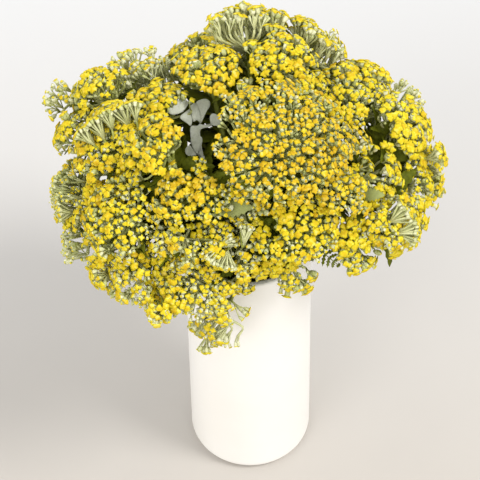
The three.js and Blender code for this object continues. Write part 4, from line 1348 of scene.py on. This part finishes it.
def felt_sheet(outline):
    """Points and triangles of a flat leaflet, in the leaf's own millimetres."""
    edge = rounded(outline)
    steps = [np.arange(low, high, SILVER_GRID) for low, high in zip(edge.min(0), edge.max(0))]
    grid = np.stack(np.meshgrid(*steps), -1).reshape(-1, 2)
    away = np.linalg.norm(grid[:, None] - edge[None], axis=-1).min(1)
    grid = grid[inside_outline(grid, edge) & (away > EDGE_CLEAR)]
    points = [Vector(point) for point in np.vstack([edge, grid])]
    made = geometry.delaunay_2d_cdt(points, [], [list(range(len(edge)))], 1, MERGE_WITHIN)
    flat = np.array([tuple(point) for point in made[0]])
    faces = [list(face) for face in made[2]]
    inside = inside_outline(np.array([flat[face].mean(0) for face in faces]), edge)
    return flat, [face for face, kept in zip(faces, inside) if kept]


def thickened(middle, up, faces):
    """A sheet with two faces and an edge wall, from its middle surface."""
    count = len(middle)
    vertices = np.vstack([middle + up * SILVER_HALF_THICKNESS, middle - up * SILVER_HALF_THICKNESS])
    edges = [edge for face in faces for edge in zip(face, face[1:] + face[:1])]
    shared = set(edges)
    walls = [[b, a, a + count, b + count] for a, b in edges if (b, a) not in shared]
    return vertices, faces + [[corner + count for corner in face[::-1]] for face in faces] + walls


def add_silver_leaflet(soup, lift, outline, along, across, up):
    """A leaflet of the silver leaf, which cups with the whole leaf, and curls and folds on its own."""
    flat, faces = felt_sheet(np.array(outline) * SILVER_SIZE)
    cup = SILVER_CUP * ((flat[:, 1] / SILVER_SPAN[1]) ** 2 - (flat[:, 0] / SILVER_SPAN[0]) ** 2)
    curl = ((flat - flat.mean(0)) ** 2).sum(1) / SILVER_CURL
    folds = SILVER_FOLD * np.sin(flat @ SILVER_WAVES[0]) * np.cos(flat @ SILVER_WAVES[1])
    height = lift + cup - curl + folds
    middle = SILVER_AT + flat[:, :1] * along + flat[:, 1:] * across + height[:, None] * up
    soup.add(*thickened(middle, up, faces), 0, MIDDLE_TONE)


def build_silver_leaf():
    """The felted leaf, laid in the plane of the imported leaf, and its stalk from the vase's floor."""
    up = facing(*SILVER_FACING)
    along = unit(UP - (UP @ up) * up)
    along = unit(along - SILVER_LEAN * np.cross(up, along))
    across = np.cross(up, along)
    soup = Soup()
    for lift, outline in SILVER_LEAFLETS:
        add_silver_leaflet(soup, lift, outline, along, across, up)
    foot, mouth = through_mouth(SILVER_AT)
    pulls = (TANGENT_SHARE, TANGENT_SHARE)
    arch = curve(mouth, unit(mouth - foot), SILVER_AT + along, along, pulls, BRANCH_POINTS)
    path = np.vstack([foot, (foot + mouth) / 2, arch])
    vertices, faces = tubes([path], np.linspace(*SILVER_STALK, len(path)), STEM_SIDES, RIDGE_DEPTH)
    soup.add(vertices[0], faces, 0, MIDDLE_TONE)
    piece = soup.piece("silver_leaf_felt", [silver_material()])
    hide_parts("silver_leaf")
    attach(piece, "root")


def build_camera():
    """The camera, level but for its small roll."""
    above = np.cross(EAST, -LOOK_BACK)
    right = EAST * math.cos(ROLL) + above * math.sin(ROLL)
    upward = above * math.cos(ROLL) - EAST * math.sin(ROLL)
    data = bpy.data.cameras.new("camera")
    data.lens = LENS
    data.sensor_width = SENSOR
    camera = bpy.data.objects.new("camera", data)
    bpy.context.scene.collection.objects.link(camera)
    turn = Matrix([right, upward, LOOK_BACK]).transposed().to_4x4()
    camera.matrix_world = Matrix.Translation(Vector((LOOK_AT + LOOK_BACK * LOOK_FROM) * MM)) @ turn
    bpy.context.scene.camera = camera


def build_lamp(name, place, width, power, tint):
    """A round soft lamp that faces the bunch."""
    data = bpy.data.lights.new(name, "AREA")
    data.shape = "DISK"
    data.size = width
    data.energy = power
    data.color = tint
    lamp = bpy.data.objects.new(name, data)
    lamp.location = place
    lamp.rotation_euler = (LAMP_AIM - Vector(place)).to_track_quat("-Z", "Y").to_euler()
    bpy.context.scene.collection.objects.link(lamp)


def build_stage():
    """The floor, the light of the room and the lamps."""
    corners = [[x * FLOOR_HALF, y * FLOOR_HALF, 0] for x, y in ((-1, -1), (1, -1), (1, 1), (-1, 1))]
    floor = smooth_mesh("floor", corners, [[0, 1, 2, 3]], [floor_material()])
    world = bpy.data.worlds.new("studio")
    world.use_nodes = True
    world.node_tree.nodes["Background"].inputs["Color"].default_value = ROOM_COLOR
    world.node_tree.nodes["Background"].inputs["Strength"].default_value = ROOM_STRENGTH
    bpy.context.scene.world = world
    for name, lamp in LAMPS.items():
        build_lamp(name, *lamp)
    bpy.context.scene.view_settings.view_transform = "Standard"


build_camera()
build_stage()
build_vase()

rng = np.random.default_rng(SEED)
petals = petal_material("petal_yellow", lemon=0xE9DF2C, gold=0xE0CA1C, deep=0xCFA61A)
discs = petal_material("disc_gold", lemon=0xE6CA24, gold=0xDAB21C, deep=0xC8961A)
head_materials = [cup_material(), petals, discs]
green_materials = [stem_material(), leaf_material()]
templates = {}
for kind, count in TEMPLATE_COUNTS.items():
    templates[kind] = [floret_template(kind, rng) for _ in range(count)]
heads = [Head(node) for node in sorted(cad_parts) if node.startswith("head_")]
layouts = {head.name: lay_out(head, rng) for head in heads}
paths = stem_paths(heads)
canopy = Canopy(np.concatenate([layout[0] for layout in layouts.values()]))
sprays = fill_gaps(heads, canopy, paths, rng)
blades = stem_leaves(canopy, paths, rng)
for head in heads:
    buds = lay_out_buds(head, layouts[head.name][3], rng)
    build_head(head, layouts[head.name], buds, sprays[head.name], head_materials, templates, rng)
leaf = fern_leaf(rng)
for stem, own in by_stem(heads):
    build_stem(stem, own, layouts, paths, sprays, blades, green_materials, leaf, rng)
build_silver_leaf()
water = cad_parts["water"].data.materials
water.clear()
water.append(water_material())
